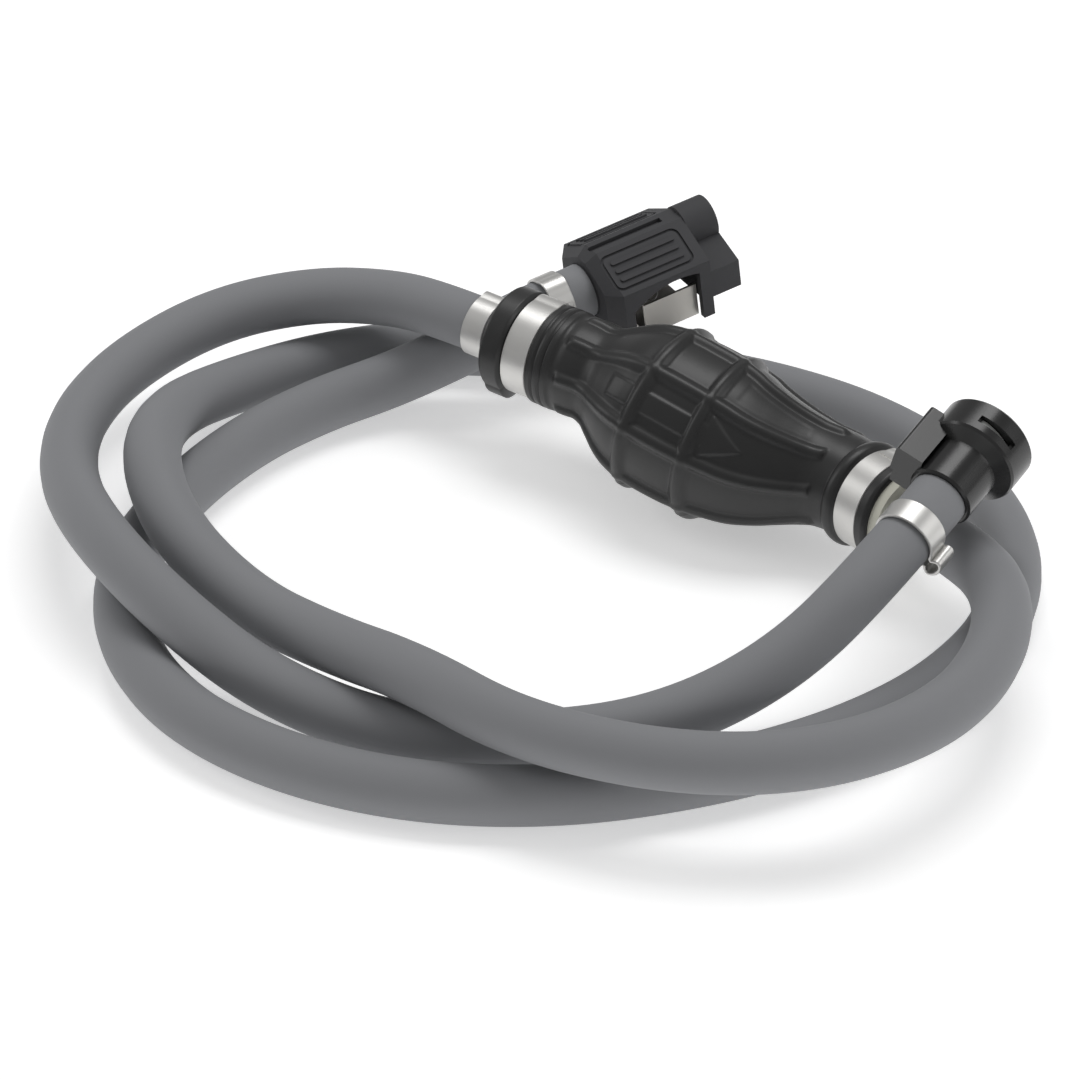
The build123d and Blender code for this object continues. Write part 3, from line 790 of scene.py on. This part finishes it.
def monotone(xs, ys, at):
    """Smooth curve through the points with no overshoot."""
    xs, ys = np.array(xs, float), np.array(ys, float)
    h = np.diff(xs)
    d = np.diff(ys) / h
    m = np.zeros(len(xs))
    for i in range(1, len(xs) - 1):
        if d[i - 1] * d[i] > 0:
            w1, w2 = 2 * h[i] + h[i - 1], h[i] + 2 * h[i - 1]
            m[i] = (w1 + w2) / (w1 / d[i - 1] + w2 / d[i])
    i = np.clip(np.searchsorted(xs, at) - 1, 0, len(h) - 1)
    t = (at - xs[i]) / h[i]
    t = np.clip(t, 0, 1)
    return (
        ys[i] * (2 * t**3 - 3 * t**2 + 1)
        + h[i] * m[i] * (t**3 - 2 * t**2 + t)
        + ys[i + 1] * (-2 * t**3 + 3 * t**2)
        + h[i] * m[i + 1] * (t**3 - t**2)
    )


def bulb_profile(length):
    """Stations and radii of the bulb's outline without its ribs, in mm."""
    e = length
    return [
        (0, 14.2),
        (0.9, 15.0),
        (6.0, 15.0),
        (7.0, 13.2),
        (15.0, 13.2),
        (15.5, 14.5),
        (17.0, 14.5),
        (17.4, 13.7),
        (18.0, 14.6),
        (19.5, 14.6),
        (19.9, 13.7),
        (20.5, 14.6),
        (22.0, 14.5),
        (22.9, 13.9),
        (25.5, 14.2),
        (28.5, 14.1),
        (31.5, 13.8),
        (34.0, 14.3),
        (38.0, 16.6),
        (43.0, 19.6),
        (48.0, 21.7),
        (53.0, 22.8),
        (60.0, 23.1),
        (66.0, 23.0),
        (72.0, 22.5),
        (79.0, 21.3),
        (86.0, 19.3),
        (92.0, 17.3),
        (98.0, 15.4),
        (103.0, 14.2),
        (e - 21.0, 13.7),
        (e - 17.8, 13.3),
        (e - 17.0, 13.2),
        (e - 16.0, 14.8),
        (e - 14.2, 15.2),
        (e - 12.6, 14.6),
        (e - 12.0, 13.2),
        (e - 4.0, 13.2),
        (e - 3.4, 14.6),
        (e - 0.8, 14.6),
        (e, 13.9),
    ]


def rib_wave(distance, half):
    """Rounded ridge with soft feet, 1 at its crest."""
    u = np.clip(np.abs(distance) / half, 0, 1)
    return 0.5 + 0.5 * np.cos(np.pi * u**1.35)


def arrow_mask(along, across):
    """1 inside the flow arrow's outline, with a narrow slope at its edge."""
    shaft = np.minimum(np.minimum(along - 43.0, 75.5 - along), 3.0 - np.abs(across))
    head_half = 6.4 * (84.5 - along) / 9.5
    head = np.minimum(along - 75.0, (head_half - np.abs(across)) * 0.83)
    return np.clip(np.maximum(shaft, head) / 0.45 + 0.5, 0, 1)


def turned_from(turn, degrees):
    """Signed angle of each point from a direction, between half a turn back and half a turn on."""
    return (turn - math.radians(degrees) + np.pi) % (2 * np.pi) - np.pi


def over_swell(station, length, start, stop, slope):
    """1 over the swell, easing to 0 at a station after the inlet and one before the outlet."""
    return np.clip((station - start) / slope, 0, 1) * np.clip((length - stop - station) / slope, 0, 1)


def bulb_ribs(settings, station, turn, radius, length):
    """Height of the long ribs and the ring ribs in mm, and the ring ribs' own share."""
    half = settings.rib_width / MM
    spacing = 2 * math.pi / max(settings.rib_count, 1)
    offset = (turn - math.radians(FIRST_RIB) + spacing / 2) % spacing - spacing / 2
    into = np.clip((station - 24.6) / 2.2, 0, 1)
    out = np.clip((length - 23.5 - station) / 2.2, 0, 1)
    rounded_ends = np.sqrt(1 - (1 - into) ** 2) * np.sqrt(1 - (1 - out) ** 2)
    lower_on_necks = 0.72 + 0.28 * over_swell(station, length, 30, 30, 14)
    width = half * (0.86 + 0.14 * np.clip((radius - 14) / 8, 0, 1))
    long_rib = rib_wave(offset * radius, width) * rounded_ends * lower_on_necks
    if settings.rib_count == 0:
        long_rib = 0 * station
    ring = np.zeros_like(station)
    for centre in RING_RIBS:
        ring = np.maximum(ring, rib_wave(station - centre, half))
    return (long_rib**4 + ring**4) ** 0.25 * settings.rib_height / MM, ring


def bulb_skin(settings, station, turn, length):
    """Outside radius in mm at each station and turn, with all that is moulded on it."""
    profile = np.array(bulb_profile(length))
    radius = monotone(profile[:, 0], profile[:, 1], station)
    ribs, ring = bulb_ribs(settings, station, turn, radius, length)
    arrow = arrow_mask(station, turned_from(turn, ARROW_TURN) * radius) * settings.arrow_height / MM
    # blank panel: a faint recessed field between two ribs, beyond the second ring
    along_panel = np.minimum(station - 78.0, 100.0 - station)
    panel_half = 4.2 - 0.11 * (station - 78.0)
    across_panel = panel_half - np.abs(turned_from(turn, PANEL_TURN) * radius)
    panel = np.clip(np.minimum(along_panel, across_panel) / 0.8, 0, 1) * -PANEL_DEPTH
    # parting line of the mould down both sides
    seam = sum(np.exp(-((turned_from(turn, at) * radius / 0.35) ** 2)) for at in SEAM_TURNS)
    seam = seam * SEAM_HEIGHT * over_swell(station, length, 24, 22, 3)
    skin = radius + np.maximum(ribs, arrow * (1 - 0.6 * ring)) + panel + seam
    # flat foot of the inlet lip
    foot = np.clip(1.15 - np.abs(turned_from(turn, FOOT_TURN)) / 0.36, 0, 1)
    on_lip = np.clip(station / 0.8, 0, 1) * np.clip((6.9 - station) / 0.9, 0, 1)
    skin = skin + FOOT_HEIGHT * foot**0.6 * on_lip
    # slow unevenness of the soft wall
    wave = np.sin(station * 0.21 + 1.3) * np.sin(2 * turn + 0.6)
    return skin + 0.10 * wave * over_swell(station, length, 24, 24, 10)


def bulb_stations(length):
    """Stations in mm, close together, with one at each change in the outline."""
    knots = set(np.round(np.arange(0, length, 0.56), 3))
    knots |= {round(float(s), 3) for s, r in bulb_profile(length)}
    knots |= {round(s + d, 3) for s in RING_RIBS for d in np.arange(-2.4, 2.5, 0.4)}
    at = np.array(sorted(knots))
    at = at[np.concatenate([[True], np.diff(at) > 0.12])]
    at[-1] = length
    return at


def bulb_hollow(length):
    """Stations in mm from outlet to inlet, and the radius of the hollow at each."""
    at = np.array([length, length - 20.0, length - 26, 98, 90, 80, 70, 60, 50, 42, 36, 30, 23.0, 0.0])
    wall = [(0, 9.4), (23, 9.4), (30, 10), (38, 12.6), (50, 18.4), (72, 18.6), (86, 15.6), (98, 11.4)]
    wall += [(length - 20, 9.4), (length, 9.4)]
    return at, np.interp(at, *zip(*wall))


def bend_to_axis(station, turn, radius):
    """Points in metres for stations, turns and radii about the sagging axis."""
    axis_at, axis = bulb_axis()

    def on_axis(at):
        return np.stack([np.interp(at, axis_at, axis[:, k]) for k in range(3)], -1)

    along = on_axis(np.minimum(station + 1.5, axis_at[-1])) - on_axis(np.maximum(station - 1.5, 0))
    along /= np.linalg.norm(along, axis=-1, keepdims=True)
    side = np.array(tuple(ARROW_SIDE))
    x = side - (along @ side)[..., None] * along
    x /= np.linalg.norm(x, axis=-1, keepdims=True)
    y = np.cross(along, x)
    outward = np.cos(turn)[..., None] * x + np.sin(turn)[..., None] * y
    return on_axis(station) + (radius * MM)[..., None] * outward


def bulb_mesh(settings):
    """Closed wall: the outside from inlet to outlet, then the hollow back to the inlet."""
    length = bulb_axis()[0][-1]
    angle = np.arange(BULB_ROUNDS) * 2 * np.pi / BULB_ROUNDS
    station, turn = np.meshgrid(bulb_stations(length), angle, indexing="ij")
    skin = bulb_skin(settings, station, turn, length)
    hollow_at, hollow_radius = bulb_hollow(length)
    hollow_station, hollow_turn = np.meshgrid(hollow_at, angle, indexing="ij")
    hollow = np.repeat(hollow_radius[:, None], BULB_ROUNDS, 1)
    points = bend_to_axis(
        np.vstack([station, hollow_station]), np.vstack([turn, hollow_turn]), np.vstack([skin, hollow])
    )
    rows = len(points)
    index = np.arange(rows * BULB_ROUNDS).reshape(rows, BULB_ROUNDS)
    onward = np.roll(index, -1, axis=1)
    next_row, next_onward = np.roll(index, -1, axis=0), np.roll(onward, -1, axis=0)
    faces = np.stack([index, onward, next_onward, next_row], -1).reshape(-1, 4)
    return smooth_mesh("bulb_skin", points.reshape(-1, 3), faces)


class FUELLINE_OT_bulb(Operator):
    """Mould the ribbed primer bulb with its raised flow arrow"""

    bl_idname = "fuelline.bulb"
    bl_label = "Primer Bulb"

    def execute(self, context):
        piece = link_piece("bulb_skin", bulb_mesh(context.scene.fuel_bulb), "bulb_rubber")
        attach(piece, "line")
        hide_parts("primer_bulb")
        return {"FINISHED"}


# ---------------------------------------------------------------- clamps
# length of band in mm that one tile of its finish covers
STRIP_TILE = 8.0
# a lapped end against its band: share of the width, share of the sheet, rise over the band's middle
LAP_WIDTH = 0.72
LAP_THICKNESS = 0.5
LAP_RISE = 0.62
# pressed bars: place of the first on the lap in degrees, and size in metres
FIRST_MARK = 18.0
MARK_SIZE = (0.0007, 0.0013, 0.0026)


def round_band(radius, start, end, steps):
    return [
        (radius * math.cos(a), radius * math.sin(a))
        for a in (start + (end - start) * k / steps for k in range(steps + 1))
    ]


def open_ear(radius, at, rise, across):
    """Closed path of a band with a curled ear: two legs pinched at the root, round at the top."""
    half = across / 2
    root = math.asin(min(0.9, (half * 0.62) / radius))
    path = round_band(radius, at + root, at + 2 * math.pi - root, 96)
    centre = radius + rise * 0.58
    turn = Matrix.Rotation(at, 2)
    for k in range(25):
        a = math.radians(-148 + 296 * k / 24)
        curl = Vector((centre + rise * 0.5 * math.cos(a), half * math.sin(a)))
        path.append(tuple(turn @ curl))
    return path


def flat_ear(radius, at, rise, across):
    """Closed path of a band with a low pressed ear."""
    path = []
    for k in range(180):
        a = 2 * math.pi * k / 180
        from_ear = ((a - at + math.pi) % (2 * math.pi) - math.pi) * radius
        share = min(abs(from_ear) / (across / 2), 1)
        reach = radius + rise * (0.5 + 0.5 * math.cos(math.pi * share)) ** 0.7
        path.append((reach * math.cos(a), reach * math.sin(a)))
    return path


def strip_mesh(name, base, path, start, width, thickness, closed=True):
    """Sheet strip on edge along a flat path in the frame's x and y, with eased edges."""
    path = [Vector(p) for p in path]
    n = len(path)
    ease = min(0.22, thickness * 0.3)
    h = thickness / 2
    section = [
        (-h + ease, 0),
        (h - ease, 0),
        (h, ease),
        (h, width * 0.33),
        (h, width * 0.66),
        (h, width - ease),
        (h - ease, width),
        (-h + ease, width),
        (-h, width - ease),
        (-h, ease),
    ]
    normals = []
    for i, p in enumerate(path):
        before = path[(i - 1) % n] if closed or i > 0 else p
        after = path[(i + 1) % n] if closed or i < n - 1 else p
        t = (after - before).normalized()
        normals.append(Vector((t.y, -t.x)))
    run_length = [0.0]
    for a, b in zip(path, path[1:] + path[:1]):
        run_length.append(run_length[-1] + (b - a).length)
    points, faces, strip = [], [], []
    for p, normal in zip(path, normals):
        for out, along in section:
            q = p + normal * out
            points.append(base @ Vector((q.x * MM, q.y * MM, (start + along) * MM)))
    m = len(section)
    spans = n if closed else n - 1
    for i in range(spans):
        j = (i + 1) % n
        for k in range(m):
            after = (k + 1) % m
            faces.append((i * m + k, j * m + k, j * m + after, i * m + after))
            va, vb = section[k][1] / STRIP_TILE, section[after][1] / STRIP_TILE
            ua, ub = run_length[i] / STRIP_TILE, run_length[i + 1] / STRIP_TILE
            strip += [(ua, va), (ub, va), (ub, vb), (ua, vb)]
    if not closed:
        faces.append(tuple(range(m)))
        strip += [(0, section[k][1] / STRIP_TILE) for k in range(m)]
        faces.append(tuple((n - 1) * m + k for k in reversed(range(m))))
        strip += [(run_length[n - 1] / STRIP_TILE, section[k][1] / STRIP_TILE) for k in reversed(range(m))]
    mesh = smooth_mesh(name, points, faces, strip)
    make_outward(mesh)
    return mesh


def make_outward(mesh):
    """Turn every face of a closed strip to point outwards."""
    work = bmesh.new()
    work.from_mesh(mesh)
    bmesh.ops.recalc_face_normals(work, faces=work.faces)
    work.to_mesh(mesh)
    work.free()


def sharpen(piece, angle=35.0):
    """Keep the strip's corners crisp while its round faces stay smooth."""
    mesh = piece.data
    work = bmesh.new()
    work.from_mesh(mesh)
    for edge in work.edges:
        if len(edge.link_faces) == 2:
            edge.smooth = edge.calc_face_angle(0) < math.radians(angle)
    work.to_mesh(mesh)
    work.free()


def mark_tree():
    """Bars pressed into a band: a count of blocks round an arc, each lying across it."""
    tree = bpy.data.node_groups.new("pressed_marks", "GeometryNodeTree")
    tree.is_modifier = True
    face = tree.interface
    face.new_socket("Geometry", in_out="INPUT", socket_type="NodeSocketGeometry")
    for name, kind, value in (
        ("Count", "NodeSocketInt", 3),
        ("Pitch", "NodeSocketFloat", 0.3),
        ("Radius", "NodeSocketFloat", 0.009),
        ("Bar Size", "NodeSocketVector", (0.0006, 0.0012, 0.003)),
        ("Finish", "NodeSocketMaterial", None),
    ):
        socket = face.new_socket(name, in_out="INPUT", socket_type=kind)
        if value is not None:
            socket.default_value = value
    face.new_socket("Geometry", in_out="OUTPUT", socket_type="NodeSocketGeometry")
    nodes, links = tree.nodes, tree.links
    source, sink = nodes.new("NodeGroupInput"), nodes.new("NodeGroupOutput")
    line = nodes.new("GeometryNodeMeshLine")
    line.mode = "OFFSET"
    links.new(source.outputs["Count"], line.inputs["Count"])
    line.inputs["Offset"].default_value = (0, 0, 0)
    index = nodes.new("GeometryNodeInputIndex")
    angle = nodes.new("ShaderNodeMath")
    angle.operation = "MULTIPLY"
    links.new(index.outputs[0], angle.inputs[0])
    links.new(source.outputs["Pitch"], angle.inputs[1])
    cosine, sine = nodes.new("ShaderNodeMath"), nodes.new("ShaderNodeMath")
    cosine.operation, sine.operation = "COSINE", "SINE"
    links.new(angle.outputs[0], cosine.inputs[0])
    links.new(angle.outputs[0], sine.inputs[0])
    x, y = nodes.new("ShaderNodeMath"), nodes.new("ShaderNodeMath")
    x.operation = y.operation = "MULTIPLY"
    links.new(cosine.outputs[0], x.inputs[0])
    links.new(source.outputs["Radius"], x.inputs[1])
    links.new(sine.outputs[0], y.inputs[0])
    links.new(source.outputs["Radius"], y.inputs[1])
    place = nodes.new("ShaderNodeCombineXYZ")
    links.new(x.outputs[0], place.inputs["X"])
    links.new(y.outputs[0], place.inputs["Y"])
    moved = nodes.new("GeometryNodeSetPosition")
    links.new(line.outputs["Mesh"], moved.inputs["Geometry"])
    links.new(place.outputs[0], moved.inputs["Position"])
    bar = nodes.new("GeometryNodeMeshCube")
    links.new(source.outputs["Bar Size"], bar.inputs["Size"])
    round_off = nodes.new("GeometryNodeSubdivisionSurface")
    round_off.inputs["Level"].default_value = 2
    round_off.inputs["Edge Crease"].default_value = 0.72
    links.new(bar.outputs["Mesh"], round_off.inputs["Mesh"])
    turned = nodes.new("ShaderNodeCombineXYZ")
    links.new(angle.outputs[0], turned.inputs["Z"])
    spread = nodes.new("GeometryNodeInstanceOnPoints")
    links.new(moved.outputs[0], spread.inputs["Points"])
    links.new(round_off.outputs["Mesh"], spread.inputs["Instance"])
    links.new(turned.outputs[0], spread.inputs["Rotation"])
    real = nodes.new("GeometryNodeRealizeInstances")
    links.new(spread.outputs[0], real.inputs[0])
    finish = nodes.new("GeometryNodeSetMaterial")
    links.new(real.outputs[0], finish.inputs["Geometry"])
    links.new(source.outputs["Finish"], finish.inputs["Material"])
    links.new(finish.outputs[0], sink.inputs["Geometry"])
    return tree


def pressed_marks(name, base, count, pitch, first, radius, size, middle, finish):
    """Row of raised marks on a band, from the marks tree, as a plain mesh in place."""
    tree = bpy.data.node_groups.get("pressed_marks") or mark_tree()
    maker = bpy.data.objects.new(name + "_maker", bpy.data.meshes.new(name + "_maker"))
    bpy.context.scene.collection.objects.link(maker)
    modifier = maker.modifiers.new("marks", "NODES")
    modifier.node_group = tree
    values = {"Count": count, "Pitch": pitch, "Radius": radius, "Bar Size": size}
    values["Finish"] = finish_of(finish)
    for item in tree.interface.items_tree:
        if item.in_out == "INPUT" and item.name in values:
            modifier[item.identifier] = values[item.name]
    bpy.context.view_layer.update()
    graph = bpy.context.evaluated_depsgraph_get()
    mesh = bpy.data.meshes.new_from_object(maker.evaluated_get(graph))
    mesh.name = name
    maker.modifiers.remove(modifier)
    bpy.data.objects.remove(maker)
    mesh.transform(base @ Matrix.Translation((0, 0, middle * MM)) @ Matrix.Rotation(first, 4, "Z"))
    mesh.polygons.foreach_set("use_smooth", [True] * len(mesh.polygons))
    if "strip" not in mesh.uv_layers:
        mesh.uv_layers.new(name="strip")
    return mesh


# sizes in mm and angles in degrees from the frame's x; lap is where the band's outer end starts
Clamp = namedtuple("Clamp", "piece node base start width inside shape ear_at rise across lap lap_length")
BULB_BAND = (8.0, 13.1)
HOSE_BAND = (7.0, 7.9)
FLAT_NARROW = (1.0, 6.4)
FLAT_WIDE = (1.0, 8.0)
CLAMPS = [
    Clamp(
        "bulb_inlet_clamp", "bulb_clamp_inlet", INLET, INLET_FLANGE + 7.0, *BULB_BAND,
        flat_ear, -25, *FLAT_WIDE, -62, 9.0,
    ),
    Clamp(
        "bulb_outlet_clamp", "bulb_clamp_outlet", OUTLET, OUTLET_FLANGE + 4.0, *BULB_BAND,
        flat_ear, 40, *FLAT_WIDE, 8, 9.0,
    ),
    Clamp(
        "inlet_hose_clamp", "hose_clamp_inlet", INLET, -8.0, *HOSE_BAND,
        flat_ear, -25, *FLAT_NARROW, -75, 9.0,
    ),
    Clamp(
        "outlet_hose_clamp", "hose_clamp_outlet", OUTLET, -8.0, *HOSE_BAND,
        open_ear, 150, 3.2, 6.4, 200, 15.0,
    ),
    Clamp(
        "supply_end_clamp", "hose_clamp_tank", TANK, -18.0, *HOSE_BAND,
        open_ear, 200, 3.6, 6.4, 238, 15.0,
    ),
    Clamp(
        "delivery_end_clamp", "hose_clamp_engine", ENGINE, -14.0, *HOSE_BAND,
        flat_ear, 20, *FLAT_WIDE, 62, 9.0,
    ),
]


def clamp_piece(name, mesh):
    """Put a clamp's part in the scene, on the line, with the stainless finish."""
    piece = link_piece(name, mesh, "clamp_steel")
    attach(piece, "line")
    return piece


def fit_clamp(clamp, thickness):
    """One clamp's band and its lapped outer end."""
    radius = clamp.inside + thickness / 2
    path = clamp.shape(radius, math.radians(clamp.ear_at), clamp.rise, clamp.across)
    band = clamp_piece(
        clamp.piece, strip_mesh(clamp.piece, clamp.base, path, clamp.start, clamp.width, thickness)
    )
    sharpen(band)
    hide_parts(clamp.node)
    over = radius + thickness * LAP_RISE
    first = math.radians(clamp.lap)
    tail = round_band(over, first, first + clamp.lap_length / radius, 24)
    name = clamp.piece + "_lap"
    lap_start = clamp.start + clamp.width * (1 - LAP_WIDTH) / 2
    lap = strip_mesh(
        name, clamp.base, tail, lap_start, clamp.width * LAP_WIDTH, thickness * LAP_THICKNESS, closed=False
    )
    sharpen(clamp_piece(name, lap))


def press_marks(clamp, settings):
    """Row of pressed bars on one clamp's lapped end."""
    thickness = settings.thickness / MM
    over = clamp.inside + thickness / 2 + thickness * LAP_RISE + thickness * LAP_THICKNESS / 2
    name = clamp.piece + "_marks"
    marks = pressed_marks(
        name,
        clamp.base,
        settings.mark_count,
        settings.mark_pitch,
        math.radians(clamp.lap + FIRST_MARK),
        over * MM,
        MARK_SIZE,
        clamp.start + clamp.width / 2,
        "clamp_steel",
    )
    clamp_piece(name, marks)


class FUELLINE_OT_clamps(Operator):
    """Close the six stainless ear clamps, with their lap ends and pressed marks"""

    bl_idname = "fuelline.clamps"
    bl_label = "Clamps"

    def execute(self, context):
        settings = context.scene.fuel_clamp
        for clamp in CLAMPS:
            fit_clamp(clamp, settings.thickness / MM)
            if clamp.base is TANK:
                press_marks(clamp, settings)
        return {"FINISHED"}


# ---------------------------------------------------------------- valves and couplings
class FUELLINE_OT_valves(Operator):
    """Finish the check valves that sit in the bulb's necks"""

    bl_idname = "fuelline.valves"
    bl_label = "Check Valves"

    def execute(self, context):
        for node, finish in VALVE_FINISHES.items():
            dress(node, finish)
        return {"FINISHED"}


class FUELLINE_OT_tank_coupling(Operator):
    """Finish the tank coupling: glossy body, thumb button, latch ring, poppet and seal"""

    bl_idname = "fuelline.tank_coupling"
    bl_label = "Tank Coupling"

    def execute(self, context):
        for node, finish in TANK_FINISHES.items():
            dress(node, finish)
        return {"FINISHED"}


class FUELLINE_OT_engine_coupling(Operator):
    """Finish the engine coupling: textured shell and mouth, stainless latch, poppet and seal"""

    bl_idname = "fuelline.engine_coupling"
    bl_label = "Engine Coupling"

    def execute(self, context):
        for node, finish in ENGINE_FINISHES.items():
            dress(node, finish)
        return {"FINISHED"}


# ---------------------------------------------------------------- stage
FLOOR_GAP = 0.0002
# name, place, aim, size, share of the overhead power
SOFTBOXES = (
    ("overhead_box", (-0.15, 0.35, 1.25), (0, -0.05, 0), (0.9, 0.55), 1.0),
    ("left_box", (-1.2, -0.5, 0.7), (-0.05, -0.05, 0), (0.35, 0.9), 0.4),
    ("right_box", (1.1, 0.35, 0.6), (0.05, -0.05, 0.02), (0.3, 0.8), 0.35),
)


def softbox(name, place, aim, size, power):
    light = bpy.data.lights.new(name, "AREA")
    light.shape = "RECTANGLE"
    light.size, light.size_y = size
    light.energy = power
    lamp = bpy.data.objects.new(name, light)
    lamp.location = place
    lamp.rotation_mode = "QUATERNION"
    lamp.rotation_quaternion = (Vector(aim) - Vector(place)).to_track_quat("-Z", "Y")
    bpy.context.scene.collection.objects.link(lamp)


def pale_floor(size):
    half = size / 2
    corners = [(x * half, y * half, -FLOOR_GAP) for x, y in ((-1, -1), (1, -1), (1, 1), (-1, 1))]
    mesh = bpy.data.meshes.new("floor")
    mesh.from_pydata(corners, [], [(0, 1, 2, 3)])
    floor = bpy.data.objects.new("floor", mesh)
    bpy.context.scene.collection.objects.link(floor)
    material, tree, shader = blank_material("floor_paper")
    vector = object_coordinates(tree)
    paper = place_group(
        tree,
        mottle_group(),
        Vector=vector,
        Scale=6.0,
        Dark=(0.90, 0.90, 0.90, 1),
        Light=(0.92, 0.92, 0.92, 1),
        Gloss_Low=0.85,
        Gloss_High=0.95,
    )
    tree.links.new(paper.outputs["Color"], shader.inputs["Base Color"])
    tree.links.new(paper.outputs["Roughness"], shader.inputs["Roughness"])
    shader.inputs["Specular IOR Level"].default_value = 0.1
    shader.inputs["Emission Color"].default_value = (1, 1, 1, 1)
    shader.inputs["Emission Strength"].default_value = 0.42
    mesh.materials.append(material)


class FUELLINE_OT_stage(Operator):
    """Set the pale floor, the soft studio light and the camera"""

    bl_idname = "fuelline.stage"
    bl_label = "Stage"

    def execute(self, context):
        scene = context.scene
        settings = scene.fuel_stage
        pale_floor(settings.floor_size)
        world = bpy.data.worlds.new("studio")
        world.use_nodes = True
        world.node_tree.nodes["Background"].inputs["Color"].default_value = (1, 1, 1, 1)
        world.node_tree.nodes["Background"].inputs["Strength"].default_value = settings.ambient
        scene.world = world
        for name, place, aim, size, share in SOFTBOXES:
            softbox(name, place, aim, size, settings.key_power * share)
        lens = bpy.data.cameras.new("camera")
        lens.sensor_width = 36.0
        lens.lens = CAMERA_LENS
        lens.clip_start, lens.clip_end = 0.05, 50
        camera = bpy.data.objects.new("camera", lens)
        camera.location = CAMERA_AT
        camera.rotation_mode = "QUATERNION"
        camera.rotation_quaternion = (CAMERA_AIM - CAMERA_AT).to_track_quat("-Z", "Y")
        scene.collection.objects.link(camera)
        scene.camera = camera
        scene.view_settings.view_transform = "Standard"
        return {"FINISHED"}


class FUELLINE_PT_panel(Panel):
    """Fuel line tools in the sidebar"""

    bl_idname = "FUELLINE_PT_panel"
    bl_label = "Fuel Line"
    bl_space_type = "VIEW_3D"
    bl_region_type = "UI"
    bl_category = "Fuel Line"

    def draw(self, context):
        layout = self.layout
        scene = context.scene
        for title, operator, settings in (
            ("Stage", "fuelline.stage", scene.fuel_stage),
            ("Clamps", "fuelline.clamps", scene.fuel_clamp),
            ("Hoses", "fuelline.hoses", scene.fuel_hose),
            ("Primer Bulb", "fuelline.bulb", scene.fuel_bulb),
            ("Check Valves", "fuelline.valves", None),
            ("Tank Coupling", "fuelline.tank_coupling", scene.fuel_coupling),
            ("Engine Coupling", "fuelline.engine_coupling", None),
        ):
            box = layout.box()
            box.operator(operator, text=title)
            if settings is not None:
                for name in settings.bl_rna.properties.keys():
                    if name not in ("rna_type", "name"):
                        box.prop(settings, name)


SETTINGS = (
    ("fuel_hose", HoseSettings),
    ("fuel_bulb", BulbSettings),
    ("fuel_clamp", ClampSettings),
    ("fuel_coupling", CouplingSettings),
    ("fuel_stage", StageSettings),
)
CLASSES = tuple(kind for name, kind in SETTINGS) + (
    FUELLINE_OT_stage,
    FUELLINE_OT_clamps,
    FUELLINE_OT_hoses,
    FUELLINE_OT_bulb,
    FUELLINE_OT_valves,
    FUELLINE_OT_tank_coupling,
    FUELLINE_OT_engine_coupling,
    FUELLINE_PT_panel,
)


def register():
    for kind in CLASSES:
        bpy.utils.register_class(kind)
    for name, kind in SETTINGS:
        setattr(bpy.types.Scene, name, PointerProperty(type=kind))


def unregister():
    for name, kind in SETTINGS:
        delattr(bpy.types.Scene, name)
    for kind in reversed(CLASSES):
        bpy.utils.unregister_class(kind)


def main():
    register()
    bpy.ops.fuelline.stage()
    bpy.ops.fuelline.clamps()
    bpy.ops.fuelline.hoses()
    bpy.ops.fuelline.bulb()
    bpy.ops.fuelline.valves()
    bpy.ops.fuelline.tank_coupling()
    bpy.ops.fuelline.engine_coupling()


if __name__ == "__main__":
    main()
